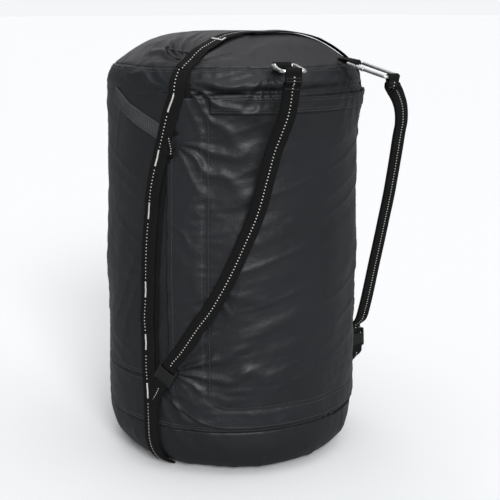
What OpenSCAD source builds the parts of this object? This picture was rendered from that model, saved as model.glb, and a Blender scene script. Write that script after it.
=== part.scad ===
// Soft cylindrical rope bag that stands on one end, with two shoulder straps
// on metal hooks, webbing daisy chains on both sides and a zipped front lid.
// Frame: +Z up, origin under the centre of the base, shoulder straps towards -Y.
// Azimuths run from -Y towards +X, in degrees.

/* [Body] */
// Outer radius of the fabric wall
body_r = 160; // [150:1:170]
// Radius of the rounded edge of the base
base_round = 48; // [40:1:55]
// Thickness of the stand-in shells for the coated fabric
fabric_t = 3; // [2.5:0.1:3.5]

/* [Front lid] */
// Half the width of the lid, measured straight across
lid_half_w = 103; // [95:1:106]
// Lower edge of the lid
lid_z0 = 148; // [140:1:160]
// Upper edge of the lid
lid_z1 = 436; // [420:1:440]
// Corner radius of the lid on its zipped side
lid_corner_r = 42; // [35:1:50]
// Width of the gap between lid and wall that the zip fills
zip_w = 15; // [14:0.5:18]
// Angle the lid is built open at
lid_open = 0; // [0:5:120]

/* [Webbing] */
// Width of the webbing sewn to the bag
web_w = 20; // [19:0.5:21]
// Width of the shoulder straps, which pass through the hooks
strap_w = 18; // [16:0.5:18]
// Thickness of one layer of webbing
web_t = 1.4; // [1.2:0.1:1.5]

/* [Hooks] */
// Distance between the two cross bars of a hook
hook_len = 60; // [56:1:64]
// Distance between the two side rails of a hook
hook_w = 26; // [25.5:0.1:27]
// Radius of the hook's rod
rod_r = 2; // [1.8:0.1:2.1]

/* [Hidden] */
$fn = 64;
gap = 0.3;
inner_r = body_r - fabric_t;
base_seam_z = 60;
band_z = 120;
collar_z = 466;
hinge_x = -lid_half_w - 4;
// Outside of the collar and the top panel, from the wall to the top, as radius and height.
// The two are sewn together at seam_i.
shoulder = [
  [body_r, collar_z], [159, 474], [156.5, 482], [152.5, 489], [148, 494.5],
  [142, 499.5], [135, 504.5], [125, 511], [114, 517.5], [102, 523],
  [88, 527.5], [72, 530.5], [50, 532.4], [25, 533], [0, 533]];
seam_i = 4;
top_i = len(shoulder) - 1;
pocket_z0 = 65;
pocket_z1 = 461;
pocket_half_w = 147;
skin_r = body_r + 0.2;
skin_t = 2.2;

// Hook places: bar azimuth, direction of the hook, droop, height of the inner bar
left_hook_at = [-18.3, -30, 3, 498];
right_hook_at = [21, 5, 13, 497];
hook_bar_r = 168;
hook_corner = 3.5;

// Ladder lock places: lower bar, facing azimuth, roll about the facing direction
left_lock_at = [[-157, -60.5, 121], -69, -30];
right_lock_at = [[163, -66, 104], -8, 3];
lock_len = 24;
lock_w = 26;
lock_t = 4;

// Centre line of each shoulder strap between its hook and its ladder lock
left_strap_line = [
  [-80.5, -207, 478], [-79, -202, 460], [-79, -197, 444],
  [-81, -189, 425], [-84, -181, 404], [-87, -173, 375], [-92, -162, 334],
  [-101, -149, 296], [-112, -135, 257], [-125, -118, 218], [-135, -104, 194],
  [-142, -91, 172], [-147, -82.5, 158]];
right_strap_line = [
  [72, -211, 471], [85, -206, 461], [97, -201, 446],
  [106, -194, 428], [112, -185, 410], [121, -172, 382], [132, -153, 335],
  [140, -138, 302], [147, -122, 262], [152, -109, 228], [156, -97, 193],
  [160, -86, 165], [163, -76, 144]];
// Azimuth that each strap's face looks towards, at its two ends
left_strap_facing = [-30, -69];
right_strap_facing = [5, -8];

// Centre line of the carrying strap over the top panel, between the two rims
carry_line = [
  [-132.6, -76.6, 492.6], [-129, -76.6, 496.2], [-122.6, -76.6, 500.6], [-114, -76.4, 506.4],
  [-103, -75.6, 512.8], [-90, -74, 519], [-73.5, -71.6, 525.6], [-54, -70, 530.2],
  [-28, -70, 532.8], [0, -71, 533.4], [28, -70, 532.8], [54, -70, 530.2],
  [73.5, -71.6, 525.6], [90, -74, 519], [103, -75.6, 512.8], [114, -76.4, 506.4],
  [122.6, -76.6, 500.6], [129, -76.6, 496.2], [132.6, -76.6, 492.6]];

// Daisy chain centre line as azimuth, height and lift off the wall
daisy_line = [
  [76, 100, 0], [76, 130, 0], [76.5, 160, 0], [76.5, 195, 0], [76, 230, 0],
  [75.5, 265, 0], [75, 300, 0], [74.2, 330, 0], [72.5, 360, 0.6], [70, 390, 2.4],
  [67, 418, 2.6], [64, 446, 2.6], [61.6, 462, 2.6], [61.2, 468, 1.6], [60.8, 475, -0.2],
  [60.4, 482, -2.6], [60.2, 488, -5.8], [60, 492, -8.2]];

// Tie cord: two strands from the carrying strap to their knot, and the tail beyond it
tie_strand_a = [[-113.5, -62, 510.8], [-116.5, -54, 511.6], [-119, -46, 512], [-121, -40, 512.6]];
tie_strand_b = [[-124.5, -62.5, 504], [-126.4, -56, 505], [-126.2, -49, 507], [-124.5, -42.6, 510]];
tie_tail = [[-120, -32.6, 515.6], [-116, -27, 518.2], [-112, -22.5, 520.4]];
tie_knot_at = [-123.4, -37, 514.2];

// ---- helpers ----

function polar(r, a, z) = [r * sin(a), -r * cos(a), z];
function unit(v) = v / norm(v);
function flat(v, n) = unit(v - (v * n) * n);
function tangent(p, i) = unit(p[min(i + 1, len(p) - 1)] - p[max(i - 1, 0)]);

// Flat strap swept along points, with one width direction for each point
module ribbon(points, across, w, t) {
  n = len(points);
  side = [for (i = [0:n - 1]) flat(across[i], tangent(points, i)) * w / 2];
  out = [for (i = [0:n - 1]) unit(cross(tangent(points, i), side[i])) * t / 2];
  corners = [for (i = [0:n - 1], c = [[-1, -1], [1, -1], [1, 1], [-1, 1]])
    points[i] + c[0] * side[i] + c[1] * out[i]];
  walls = [for (i = [0:n - 2], k = [0:3], half = [0, 1])
    let (a = 4 * i + k, b = 4 * i + (k + 1) % 4)
    half == 0 ? [a, b, b + 4] : [a, b + 4, a + 4]];
  last = 4 * n - 4;
  ends = [[2, 1, 0], [3, 2, 0], [last, last + 1, last + 2], [last, last + 2, last + 3]];
  polyhedron(corners, concat(walls, ends), convexity = 6);
}

// Round cord swept along points
module cord(points, r, sides = 8) {
  n = len(points);
  ring = [for (i = [0:n - 1]) let (
    t = tangent(points, i),
    u = flat([0, 0, 1], t),
    v = cross(t, u))
    for (k = [0:sides - 1]) points[i] + r * (cos(360 * k / sides) * u + sin(360 * k / sides) * v)];
  walls = [for (i = [0:n - 2], k = [0:sides - 1], half = [0, 1])
    let (a = sides * i + k, b = sides * i + (k + 1) % sides)
    half == 0 ? [a, b, b + sides] : [a, b + sides, a + sides]];
  ends = [[for (k = [sides - 1:-1:0]) k], [for (k = [0:sides - 1]) sides * (n - 1) + k]];
  polyhedron(ring, concat(walls, ends), convexity = 4);
}

module tube(r0, r1, z0, z1) {
  translate([0, 0, z0]) difference() {
    cylinder(r = r1, h = z1 - z0, $fn = 96);
    translate([0, 0, -1]) cylinder(r = r0, h = z1 - z0 + 2, $fn = 96);
  }
}

// Part of a thin round shell whose outline, seen straight from the front, is the child
module wrapped(r0, r1, front) {
  intersection() {
    tube(r0, r1, 0, collar_z);
    rotate([90, 0, front ? 180 : 0]) linear_extrude(body_r * 2)
      mirror([front ? 1 : 0, 0]) children();
  }
}

// Outline of the lid grown by g on its three zipped sides
module lid_outline(g = 0) {
  r = lid_corner_r + g;
  x1 = lid_half_w + g;
  z0 = lid_z0 - g;
  z1 = lid_z1 + g;
  arc = [for (i = [0:8]) i * 90 / 8];
  polygon(concat(
    [[hinge_x, z1], [hinge_x, z0]],
    [for (a = arc) [x1 - r + r * sin(a), z0 + r - r * cos(a)]],
    [for (a = arc) [x1 - r + r * cos(a), z1 - r + r * sin(a)]]));
}

module lid_ring(g0, g1) {
  difference() {
    lid_outline(g1);
    lid_outline(g0);
  }
}

// Coordinates of a ladder lock: x across the strap, y along it, z out of its face
module at_lock(at) {
  translate(at[0]) rotate([0, 0, at[1]]) rotate([90, 0, 0]) rotate([0, 0, at[2]]) children();
}

// Coordinates of a hook: x along its inner bar, y outwards along the hook
module at_hook(at) {
  translate(polar(hook_bar_r, at[0], at[3])) rotate([0, 0, 180 + at[1]])
    rotate([-at[2], 0, 0]) children();
}

// Centre of a hook's outer bar
function hook_bar(at) = polar(hook_bar_r, at[0], at[3])
  + hook_len * [sin(at[1]) * cos(at[2]), -cos(at[1]) * cos(at[2]), -sin(at[2])];

// Point in a ladder lock's middle plane, y above its lower bar and z out of its face
function lock_point(at, y, z) = at[0]
  + y * [-sin(at[2]) * cos(at[1]), -sin(at[2]) * sin(at[1]), cos(at[2])]
  + z * [sin(at[1]), -cos(at[1]), 0];
function lock_across(at) = [cos(at[2]) * cos(at[1]), cos(at[2]) * sin(at[1]), sin(at[2])];

module mirrored(side) {
  mirror([side < 0 ? 1 : 0, 0, 0]) children();
}

// ---- fabric shell ----

// The shoulder profile moved along its own normal
function shoulder_at(i, off) = let (t = tangent(shoulder, i)) shoulder[i] + off * [t[1], -t[0]];

// Shell between two stations of the shoulder profile
module shoulder_shell(i0, i1) {
  rotate_extrude($fn = 96) polygon(concat(
    [for (i = [i0:i1]) shoulder[i]],
    [for (i = [i1:-1:i0]) i == 0 ? [inner_r, collar_z]
      : i == top_i ? [0, shoulder[top_i][1] - fabric_t] : shoulder_at(i, -fabric_t)]));
}

module base_panel() {
  round_in = base_round - fabric_t;
  flat_r = body_r - base_round;
  arc = [for (i = [0:9]) i * 10];
  color([0.17, 0.18, 0.19]) rotate_extrude($fn = 96) polygon(concat(
    [[0, fabric_t], [0, 0]],
    [for (a = arc) [flat_r + base_round * sin(a), base_round - base_round * cos(a)]],
    [[body_r, base_seam_z], [inner_r, base_seam_z]],
    [for (a = arc) [flat_r + round_in * cos(a), base_round - round_in * sin(a)]]));
}

binding_w = 5;

module base_seam_binding() {
  color([0.08, 0.08, 0.08])
    tube(inner_r - binding_w, inner_r, base_seam_z - binding_w / 2, base_seam_z + binding_w / 2);
}

module top_seam_binding() {
  r = shoulder[seam_i][0] - 1.6;
  z = shoulder[seam_i][1] - 3;
  color([0.08, 0.08, 0.08]) tube(r - binding_w, r, z - binding_w, z);
}

module lower_wall_band() {
  color([0.18, 0.19, 0.20]) tube(inner_r, body_r, base_seam_z, band_z);
}

module main_wall() {
  color([0.20, 0.21, 0.22]) difference() {
    tube(inner_r, body_r, band_z, collar_z);
    wrapped(inner_r - 2, body_r + 2, true) lid_outline(zip_w);
  }
}

module collar_band() {
  color([0.22, 0.23, 0.24]) shoulder_shell(0, seam_i);
}

module top_panel() {
  color([0.27, 0.27, 0.29]) shoulder_shell(seam_i, top_i);
}

// ---- back pocket under the shoulder straps ----

module back_pocket_panel() {
  color([0.15, 0.16, 0.17]) wrapped(skin_r, skin_r + skin_t, false) {
    corner_r = 45;
    translate([-pocket_half_w, pocket_z0 + corner_r])
      square([2 * pocket_half_w, pocket_z1 - pocket_z0 - corner_r]);
    translate([corner_r - pocket_half_w, pocket_z0])
      square([2 * (pocket_half_w - corner_r), corner_r + 1]);
    for (s = [-1, 1]) translate([s * (pocket_half_w - corner_r), pocket_z0 + corner_r])
      circle(r = corner_r);
  }
}

module back_pocket_hem() {
  hem_half_w = 118;
  hem_h = 17;
  color([0.16, 0.17, 0.18]) wrapped(skin_r + skin_t, skin_r + skin_t + 1, false)
    translate([-hem_half_w, pocket_z1 - hem_h]) square([2 * hem_half_w, hem_h]);
}

// ---- daisy chains and carrying strap ----

// Points round the edge of the base and up the wall, lifted by off, with their azimuths
base_az = daisy_line[0][0];
base_arc = [56, 42, 28, 14, 0];
daisy_az = concat([for (a = base_arc) base_az], [base_az], [for (d = daisy_line) d[0]]);
function daisy_points(off) = concat(
  [for (a = base_arc)
    polar(body_r - base_round + (base_round + off) * cos(a), base_az,
      base_round - (base_round + off) * sin(a))],
  [polar(body_r + off, base_az, 70)],
  [for (d = daisy_line) polar(body_r + off + d[2], d[0], d[1])]);

module daisy_layer(off, side) {
  mirrored(side)
    ribbon(daisy_points(off), [for (a = daisy_az) [cos(a), sin(a), 0]], web_w, web_t);
}

backing_off = 0.8 + web_t / 2;
chain_off = backing_off + web_t + gap;

module daisy_backing_left() { color([0.1, 0.1, 0.1]) daisy_layer(backing_off, -1); }
module daisy_backing_right() { color([0.1, 0.1, 0.1]) daisy_layer(backing_off, 1); }
module daisy_chain_left() { color([0.12, 0.12, 0.12]) daisy_layer(chain_off, -1); }
module daisy_chain_right() { color([0.12, 0.12, 0.12]) daisy_layer(chain_off, 1); }

tack_len = 22;
tack_w = 2.2;
tack_t = 0.8;
// Azimuth, height and lift of each bar tack on the right-hand daisy chain
daisy_tacks = [[76, 104, 0], [76.5, 165, 0], [76, 231, 0], [74.3, 327, 0],
  [70, 390, 2.4], [63.2, 453, 2.6]];

module bar_tacks() {
  color([0.85, 0.85, 0.83]) for (side = [-1, 1], d = daisy_tacks) mirrored(side)
    translate(polar(body_r + chain_off + web_t / 2 + tack_t / 2 + d[2], d[0] + 1, d[1]))
      rotate([0, 0, d[0]]) translate([0, -tack_t / 2, 0])
        cube([tack_w, tack_t, tack_len], center = true);
}

module carry_strap() {
  across = [for (p = carry_line) [p[0] / 280, 0.9, 0.06]];
  color([0.12, 0.12, 0.12]) ribbon(carry_line, across, web_w, web_t);
}

module carry_strap_tacks() {
  color([0.85, 0.85, 0.83]) for (s = [-1, 1])
    translate([s * 81, -73, 524]) rotate([4, s * 22, 0]) cube([2, 16, tack_t], center = true);
}

// ---- hooks and their anchors ----

// Webbing folded round the hook's inner bar and sewn into the top seam
module hook_anchor(at) {
  eye_r = rod_r + 0.5;
  eye_w = hook_w - 2 * hook_corner - 0.4;
  leg = hook_bar_r - shoulder[seam_i + 1][0];
  difference() {
    at_hook(at) difference() {
      union() {
        rotate([0, 90, 0]) cylinder(r = eye_r + web_t, h = eye_w, center = true);
        translate([-eye_w / 2, -leg, -eye_r - web_t]) cube([eye_w, leg, 2 * (eye_r + web_t)]);
      }
      rotate([0, 90, 0]) cylinder(r = eye_r, h = web_w + 2, center = true);
      translate([-web_w / 2 - 1, -leg - 1, -eye_r]) cube([web_w + 2, leg + 1, 2 * eye_r]);
    }
    inside_of_bag();
  }
}

module hook_anchor_left() { color([0.08, 0.08, 0.08]) hook_anchor(left_hook_at); }
module hook_anchor_right() { color([0.08, 0.08, 0.08]) hook_anchor(right_hook_at); }

module inside_of_bag() {
  rotate_extrude($fn = 96) polygon(concat(
    [[0, collar_z], [body_r + gap, collar_z]],
    [for (i = [1:top_i - 1]) shoulder_at(i, gap)],
    [[0, shoulder[top_i][1] + gap]]));
}

// Closed rod ring with round corners, and a slanted gate gap in one rail
module hook() {
  corner = hook_corner;
  rail_x = hook_w / 2;
  gate_y = 13;
  difference() {
    union() {
      for (y = [0, hook_len]) translate([0, y, 0]) rotate([0, 90, 0])
        cylinder(r = rod_r, h = hook_w - 2 * corner, center = true);
      for (x = [-rail_x, rail_x]) translate([x, corner, 0]) rotate([-90, 0, 0])
        cylinder(r = rod_r, h = hook_len - 2 * corner);
      for (c = [[1, 0, 270], [1, 1, 0], [-1, 1, 90], [-1, 0, 180]])
        translate([c[0] * (rail_x - corner), c[1] * hook_len + (1 - 2 * c[1]) * corner, 0])
          rotate([0, 0, c[2]]) rotate_extrude(angle = 90, $fn = 48)
            translate([corner, 0]) circle(r = rod_r, $fn = 24);
    }
    translate([rail_x, gate_y, 0]) rotate([0, 0, 30]) cube([20, 1.2, 10], center = true);
  }
}

module hook_left() { color([0.85, 0.86, 0.87]) at_hook(left_hook_at) hook(); }
module hook_right() { color([0.85, 0.86, 0.87]) at_hook(right_hook_at) hook(); }

// ---- shoulder straps ----

// Webbing round a bar: [along, out] offsets from the bar for a fold that starts on one
// face, passes over the bar and comes back down the other face
function fold(r, leg) = concat(
  [[-leg, -web_t * 0.65], [-leg / 2, -r * 0.62]],
  [for (f = [-30:30:210]) [r * sin(f), -r * cos(f)]],
  [[-leg / 2, r * 0.62], [-leg, web_t * 0.65]]);

// The strap's sewn eye round the hook's outer bar, then its route to the ladder lock
module shoulder_strap(hook_at, route, lock_at, facing) {
  bar = hook_bar(hook_at);
  out = [sin(hook_at[1]), -cos(hook_at[1]), 0];
  eye = [for (f = fold(rod_r + 0.4 + web_t / 2, 12)) bar + f[0] * [0, 0, 1] + f[1] * out];
  line = concat(eye, route,
    [lock_point(lock_at, lock_len + 6, 0), lock_point(lock_at, lock_len + 0.8, 0)]);
  n = len(line);
  m = len(eye);
  across = [for (i = [0:n - 1])
    let (a = facing[0] + (facing[1] - facing[0]) * max(0, i - m + 1) / (n - m))
    i < n - 2 ? [cos(a), sin(a), 0] : lock_across(lock_at)];
  ribbon(line, across, strap_w, web_t);
}

module shoulder_strap_left() {
  color([0.12, 0.12, 0.12]) shoulder_strap(left_hook_at, left_strap_line, left_lock_at, left_strap_facing);
}

module shoulder_strap_right() {
  color([0.12, 0.12, 0.12]) shoulder_strap(right_hook_at, right_strap_line, right_lock_at, right_strap_facing);
}

// ---- ladder locks, their anchors and the strap tails ----

bar_r = 1.6;

module ladder_lock() {
  rim = 2.6;
  slot_w = lock_w - 2 * rim;
  difference() {
    union() {
      translate([-lock_w / 2, 0, -lock_t / 2]) cube([lock_w, lock_len, lock_t]);
      rotate([0, 90, 0]) cylinder(r = lock_t / 2, h = lock_w, center = true);
    }
    translate([-slot_w / 2, bar_r, -lock_t]) cube([slot_w, 6, 2 * lock_t]);
    translate([-slot_w / 2, bar_r + 9, -lock_t]) cube([slot_w, 6, 2 * lock_t]);
    translate([-slot_w / 2, -lock_t, -lock_t]) cube([slot_w, lock_t + bar_r, 2 * lock_t]);
  }
  rotate([0, 90, 0]) cylinder(r = bar_r, h = slot_w + 0.2, center = true);
}

module ladder_lock_left() { color([0.13, 0.14, 0.14]) at_lock(left_lock_at) ladder_lock(); }
module ladder_lock_right() { color([0.13, 0.14, 0.14]) at_lock(right_lock_at) ladder_lock(); }

// Tab folded round the lower bar of a ladder lock, then on down to the daisy chain
module lock_anchor(at, tab, facing) {
  eye = [for (f = fold(bar_r + 0.4 + web_t / 2, 9)) lock_point(at, f[0], f[1])];
  line = concat(eye, tab);
  n = len(line);
  m = len(eye);
  turned = [cos(facing), sin(facing), 0];
  across = [for (i = [0:n - 1]) let (k = max(0, i - m + 1) / (n - m))
    lock_across(at) * (1 - k) + turned * k];
  ribbon(line, across, strap_w, web_t);
}

left_tab = [[-159.5, -51.5, 105], [-160, -46, 97], [-160.5, -41.5, 89]];
right_tab = [[164.5, -64, 88], [165.5, -59, 82], [165, -51, 79], [162.5, -43, 78]];

module lock_anchor_left() {
  color([0.08, 0.08, 0.08]) lock_anchor(left_lock_at, left_tab, -76);
}

module lock_anchor_right() {
  color([0.08, 0.08, 0.08]) lock_anchor(right_lock_at, right_tab, 76);
}

// Free end of the shoulder strap behind its ladder lock, threaded through the upper slot
module strap_tail() {
  w = strap_w - 1;
  z_back = -lock_t / 2 - 0.2 - web_t;
  eye_clear = 4.4;
  slot_y = 12;
  translate([-w / 2, eye_clear, z_back]) cube([w, slot_y + web_t - eye_clear, web_t]);
  translate([-w / 2, slot_y, z_back + web_t / 2]) cube([w, web_t, -z_back - web_t / 2]);
}

module strap_tail_left() { color([0.12, 0.12, 0.12]) at_lock(left_lock_at) strap_tail(); }
module strap_tail_right() { color([0.12, 0.12, 0.12]) at_lock(right_lock_at) strap_tail(); }

// ---- label strip and tie cord ----

// Reinforcing strip sewn slanting across the left shoulder of the wall
module shoulder_label_strip() {
  line = [for (i = [0:8]) polar(body_r + 1.2, -101 + 3.3 * i, 461 - 4.5 * i)];
  across = [for (i = [0:8]) cross([line[i][0], line[i][1], 0], tangent(line, i))];
  color([0.28, 0.29, 0.30]) ribbon(line, across, 19, 0.9);
}

module tie_cord() {
  color([0.05, 0.05, 0.05]) {
    cord(tie_strand_a, 1.4);
    cord(tie_strand_b, 1.4);
    cord(tie_tail, 1.4);
  }
}

module tie_knot() {
  color([0.05, 0.05, 0.05]) translate(tie_knot_at) sphere(r = 4.2, $fn = 24);
}

// ---- zip ----

coil_w = 1.8;
coil_gap = 0.4;
mid = zip_w / 2;
tape_r = body_r - 2;
coil_r = body_r + 0.6;

// Keeps the hinge side of a zip ring open
module zipped_side() {
  difference() {
    children();
    translate([hinge_x - 1, lid_z0 - zip_w - 1])
      square([6, lid_z1 - lid_z0 + 2 * zip_w + 2]);
  }
}

module wall_zip_tape() {
  color([0.06, 0.06, 0.06]) wrapped(tape_r, tape_r + 1, true)
    zipped_side() lid_ring(mid + coil_gap / 2 + coil_w, zip_w);
}

module wall_zip_coil() {
  color([0.04, 0.04, 0.04]) wrapped(tape_r, coil_r, true)
    zipped_side() lid_ring(mid + coil_gap / 2, mid + coil_gap / 2 + coil_w);
}

module zip_end_patches() {
  color([0.08, 0.08, 0.08]) wrapped(body_r + gap, body_r + gap + 1, true)
    for (z = [lid_z0 - zip_w - 9, lid_z1 + zip_w + 1]) translate([hinge_x - 6, z]) square([26, 8]);
}

// ---- lid ----

module at_lid() {
  pivot = [hinge_x - 0.2, sqrt(body_r * body_r - hinge_x * hinge_x), 0];
  translate(pivot) rotate([0, 0, lid_open]) translate(-pivot) children();
}

module lid_panel() {
  color([0.20, 0.21, 0.22]) at_lid() wrapped(inner_r, body_r, true) difference() {
    lid_outline(0);
    translate([hinge_x - 1, lid_z0 - 1]) square([1 + 0.3, lid_z1 - lid_z0 + 2]);
  }
}

module lid_zip_tape() {
  color([0.06, 0.06, 0.06]) at_lid() wrapped(tape_r, tape_r + 1, true)
    zipped_side() lid_ring(0, mid - coil_gap / 2 - coil_w);
}

module lid_zip_coil() {
  color([0.04, 0.04, 0.04]) at_lid() wrapped(tape_r, coil_r, true)
    zipped_side() lid_ring(mid - coil_gap / 2 - coil_w, mid - coil_gap / 2);
}

// ---- zip slider and pull cord, parked at the lower end of the zip ----

slider_half = 6.5;
slider_rest_az = 214;
slider_z = lid_z0 - mid;
slider_r = coil_r + gap;
plate_t = 1.6;
bar_lift = 4;
pull_bar_r = 0.9;
pull_len = 42;

// Coordinates of the slider: x along the zip, y up, z out of the bag
module at_slider() {
  at_lid() translate(polar(slider_r, slider_rest_az, slider_z))
    rotate([0, 0, slider_rest_az]) rotate([90, 0, 0]) children();
}

// Top plate over both coils, with a round bar that the pull cord hangs from
module zip_slider() {
  plate_w = 8;
  post = 1.6;
  color([0.3, 0.3, 0.32]) at_slider() {
    translate([-slider_half, -plate_w / 2, 0]) cube([2 * slider_half, plate_w, plate_t]);
    for (s = [-1, 1]) translate([s * (slider_half - post) - post / 2, -1.6, plate_t - 0.1])
      cube([post, 3.2, bar_lift - plate_t + 1.2]);
    translate([0, 0, bar_lift]) rotate([0, 90, 0])
      cylinder(r = pull_bar_r, h = 2 * (slider_half - post), center = true, $fn = 32);
  }
}

// Eye round the slider's bar, a doubled cord and a moulded grip
module zip_pull() {
  eye_r = pull_bar_r + 0.3;
  grip_len = 18;
  color([0.05, 0.05, 0.05]) at_slider() translate([0, 0, bar_lift]) {
    rotate([0, 90, 0]) difference() {
      cylinder(r = eye_r + 0.9, h = 5, center = true, $fn = 32);
      cylinder(r = eye_r, h = 6, center = true, $fn = 32);
    }
    for (s = [-1, 1]) translate([s * 1.5, -eye_r - 0.4, 0]) rotate([90, 0, 0])
      cylinder(r = 0.9, h = pull_len - grip_len, $fn = 24);
    translate([-4, -pull_len, -1.5]) cube([8, grip_len, 3]);
  }
}

base_panel();
base_seam_binding();
lower_wall_band();
main_wall();
collar_band();
top_seam_binding();
top_panel();
back_pocket_panel();
back_pocket_hem();
daisy_backing_left();
daisy_backing_right();
daisy_chain_left();
daisy_chain_right();
bar_tacks();
carry_strap();
carry_strap_tacks();
hook_anchor_left();
hook_anchor_right();
lock_anchor_left();
lock_anchor_right();
shoulder_label_strip();
tie_cord();
tie_knot();
wall_zip_tape();
wall_zip_coil();
zip_end_patches();
lid_panel();
lid_zip_tape();
lid_zip_coil();
zip_slider();
zip_pull();
hook_left();
hook_right();
shoulder_strap_left();
shoulder_strap_right();
ladder_lock_left();
ladder_lock_right();
strap_tail_left();
strap_tail_right();
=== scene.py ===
import bpy
import math
import numpy as np
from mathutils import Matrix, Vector


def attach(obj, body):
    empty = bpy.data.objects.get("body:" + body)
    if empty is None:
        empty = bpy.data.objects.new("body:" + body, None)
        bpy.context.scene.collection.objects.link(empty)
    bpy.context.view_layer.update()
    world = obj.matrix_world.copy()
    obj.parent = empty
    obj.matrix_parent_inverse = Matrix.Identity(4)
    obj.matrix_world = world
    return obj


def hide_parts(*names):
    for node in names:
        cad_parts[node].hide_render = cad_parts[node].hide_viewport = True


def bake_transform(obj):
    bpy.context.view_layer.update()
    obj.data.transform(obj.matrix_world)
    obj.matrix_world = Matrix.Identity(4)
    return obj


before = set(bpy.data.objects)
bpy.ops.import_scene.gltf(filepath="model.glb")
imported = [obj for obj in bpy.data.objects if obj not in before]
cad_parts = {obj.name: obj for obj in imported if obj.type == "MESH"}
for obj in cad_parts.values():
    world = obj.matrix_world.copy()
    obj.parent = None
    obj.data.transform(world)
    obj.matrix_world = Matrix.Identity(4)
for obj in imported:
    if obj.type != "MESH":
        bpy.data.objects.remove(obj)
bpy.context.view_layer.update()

# Lengths are in millimetres up to the moment a mesh is made. Azimuths run from -Y towards
# +X in degrees, as in the CAD model.
MM = 0.001
BODY_R = 160.0
BASE_ROUND = 48.0
WALL_TOP = 466.0
SEAM_Z = 494.5
POCKET_Z0, POCKET_Z1, POCKET_HALF, POCKET_CORNER = 65.0, 461.0, 147.0, 45.0
LID_X0, LID_X1, LID_Z0, LID_Z1, LID_CORNER = -107.0, 103.0, 148.0, 436.0, 42.0
ZIP_W = 15.0
SHOULDER = [(160, 466), (159, 474), (156.5, 482), (152.5, 489), (148, 494.5), (142, 499.5),
            (135, 504.5), (125, 511), (114, 517.5), (102, 523), (88, 527.5), (72, 530.5),
            (50, 532.4), (25, 533), (0, 533)]

# ---------------------------------------------------------------- camera

camera = bpy.data.objects.new("camera", bpy.data.cameras.new("camera"))
bpy.context.scene.collection.objects.link(camera)
camera.location = (-0.854, -1.093, 0.562)
camera.rotation_euler = (math.radians(77.35), 0, math.radians(-38.9))
camera.data.lens = 78
camera.data.sensor_width = 36
bpy.context.scene.camera = camera

# ---------------------------------------------------------------- small maths


def polar(r, a, z):
    a = np.radians(a)
    return np.stack(np.broadcast_arrays(r * np.sin(a), -r * np.cos(a), z), -1)


def unit(v):
    v = np.asarray(v, float)
    return v / np.maximum(np.linalg.norm(v, axis=-1, keepdims=True), 1e-9)


def smooth01(x, lo, hi):
    t = np.clip((np.asarray(x, float) - lo) / (hi - lo), 0, 1)
    return t * t * (3 - 2 * t)


def bump(x, centre, half):
    """1 at centre, 0 from half away on."""
    t = np.clip(1 - np.abs((np.asarray(x, float) - centre) / half), 0, 1)
    return t * t * (3 - 2 * t)


def turn(a, a0):
    """Shortest signed way round from azimuth a0 to a."""
    return (np.asarray(a, float) - a0 + 180) % 360 - 180


def value_noise(u, v, seed, nu, nv=97):
    """Smooth noise from -1 to 1. It repeats after nu in u."""
    g = np.random.default_rng(seed).random((nu, nv)) * 2 - 1
    u, v = np.broadcast_arrays(np.asarray(u, float), np.asarray(v, float))
    i, j = np.floor(u).astype(int), np.floor(v).astype(int)
    fu, fv = u - i, v - j
    fu, fv = fu ** 3 * (fu * (fu * 6 - 15) + 10), fv ** 3 * (fv * (fv * 6 - 15) + 10)
    i0, i1, j0, j1 = i % nu, (i + 1) % nu, j % nv, (j + 1) % nv
    return ((g[i0, j0] * (1 - fu) + g[i1, j0] * fu) * (1 - fv)
            + (g[i0, j1] * (1 - fu) + g[i1, j1] * fu) * fv)


def ring_noise(a, v, across, along, seed):
    """Noise over the wall whose blobs are about across mm wide and along mm high."""
    n = max(3, int(round(2 * math.pi * BODY_R / across)))
    return value_noise(np.asarray(a, float) / 360 * n, np.asarray(v, float) / along, seed, n)


def crease(n, sharp=1.6):
    """Turns noise into ridges with narrow valleys, from 0 to 1."""
    return (1 - np.abs(n)) ** sharp


def smooth_line(points, step):
    """Catmull-Rom curve through points, with a point about every step."""
    p = np.asarray(points, float)
    p = np.vstack([2 * p[0] - p[1], p, 2 * p[-1] - p[-2]])
    out = []
    for i in range(1, len(p) - 2):
        n = max(1, int(round(np.linalg.norm(p[i + 1] - p[i]) / step)))
        for t in np.arange(n) / n:
            out.append(0.5 * (2 * p[i] + (p[i + 1] - p[i - 1]) * t
                              + (2 * p[i - 1] - 5 * p[i] + 4 * p[i + 1] - p[i + 2]) * t * t
                              + (3 * p[i] - p[i - 1] - 3 * p[i + 1] + p[i + 2]) * t ** 3))
    out.append(p[-2])
    return np.array(out)


def along(points):
    """Distance along a line at each of its points."""
    return np.concatenate([[0], np.cumsum(np.linalg.norm(np.diff(points, axis=0), axis=1))])


def even(points, step):
    """The same line with its points spaced evenly."""
    p = np.asarray(points, float)
    s = along(p)
    n = max(2, int(round(s[-1] / step)) + 1)
    t = np.linspace(0, s[-1], n)
    return np.stack([np.interp(t, s, p[:, k]) for k in range(p.shape[1])], 1)


def tangents(p):
    t = np.empty_like(p)
    t[1:-1] = p[2:] - p[:-2]
    t[0], t[-1] = p[1] - p[0], p[-1] - p[-2]
    return unit(t)


# ---------------------------------------------------------------- materials


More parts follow.
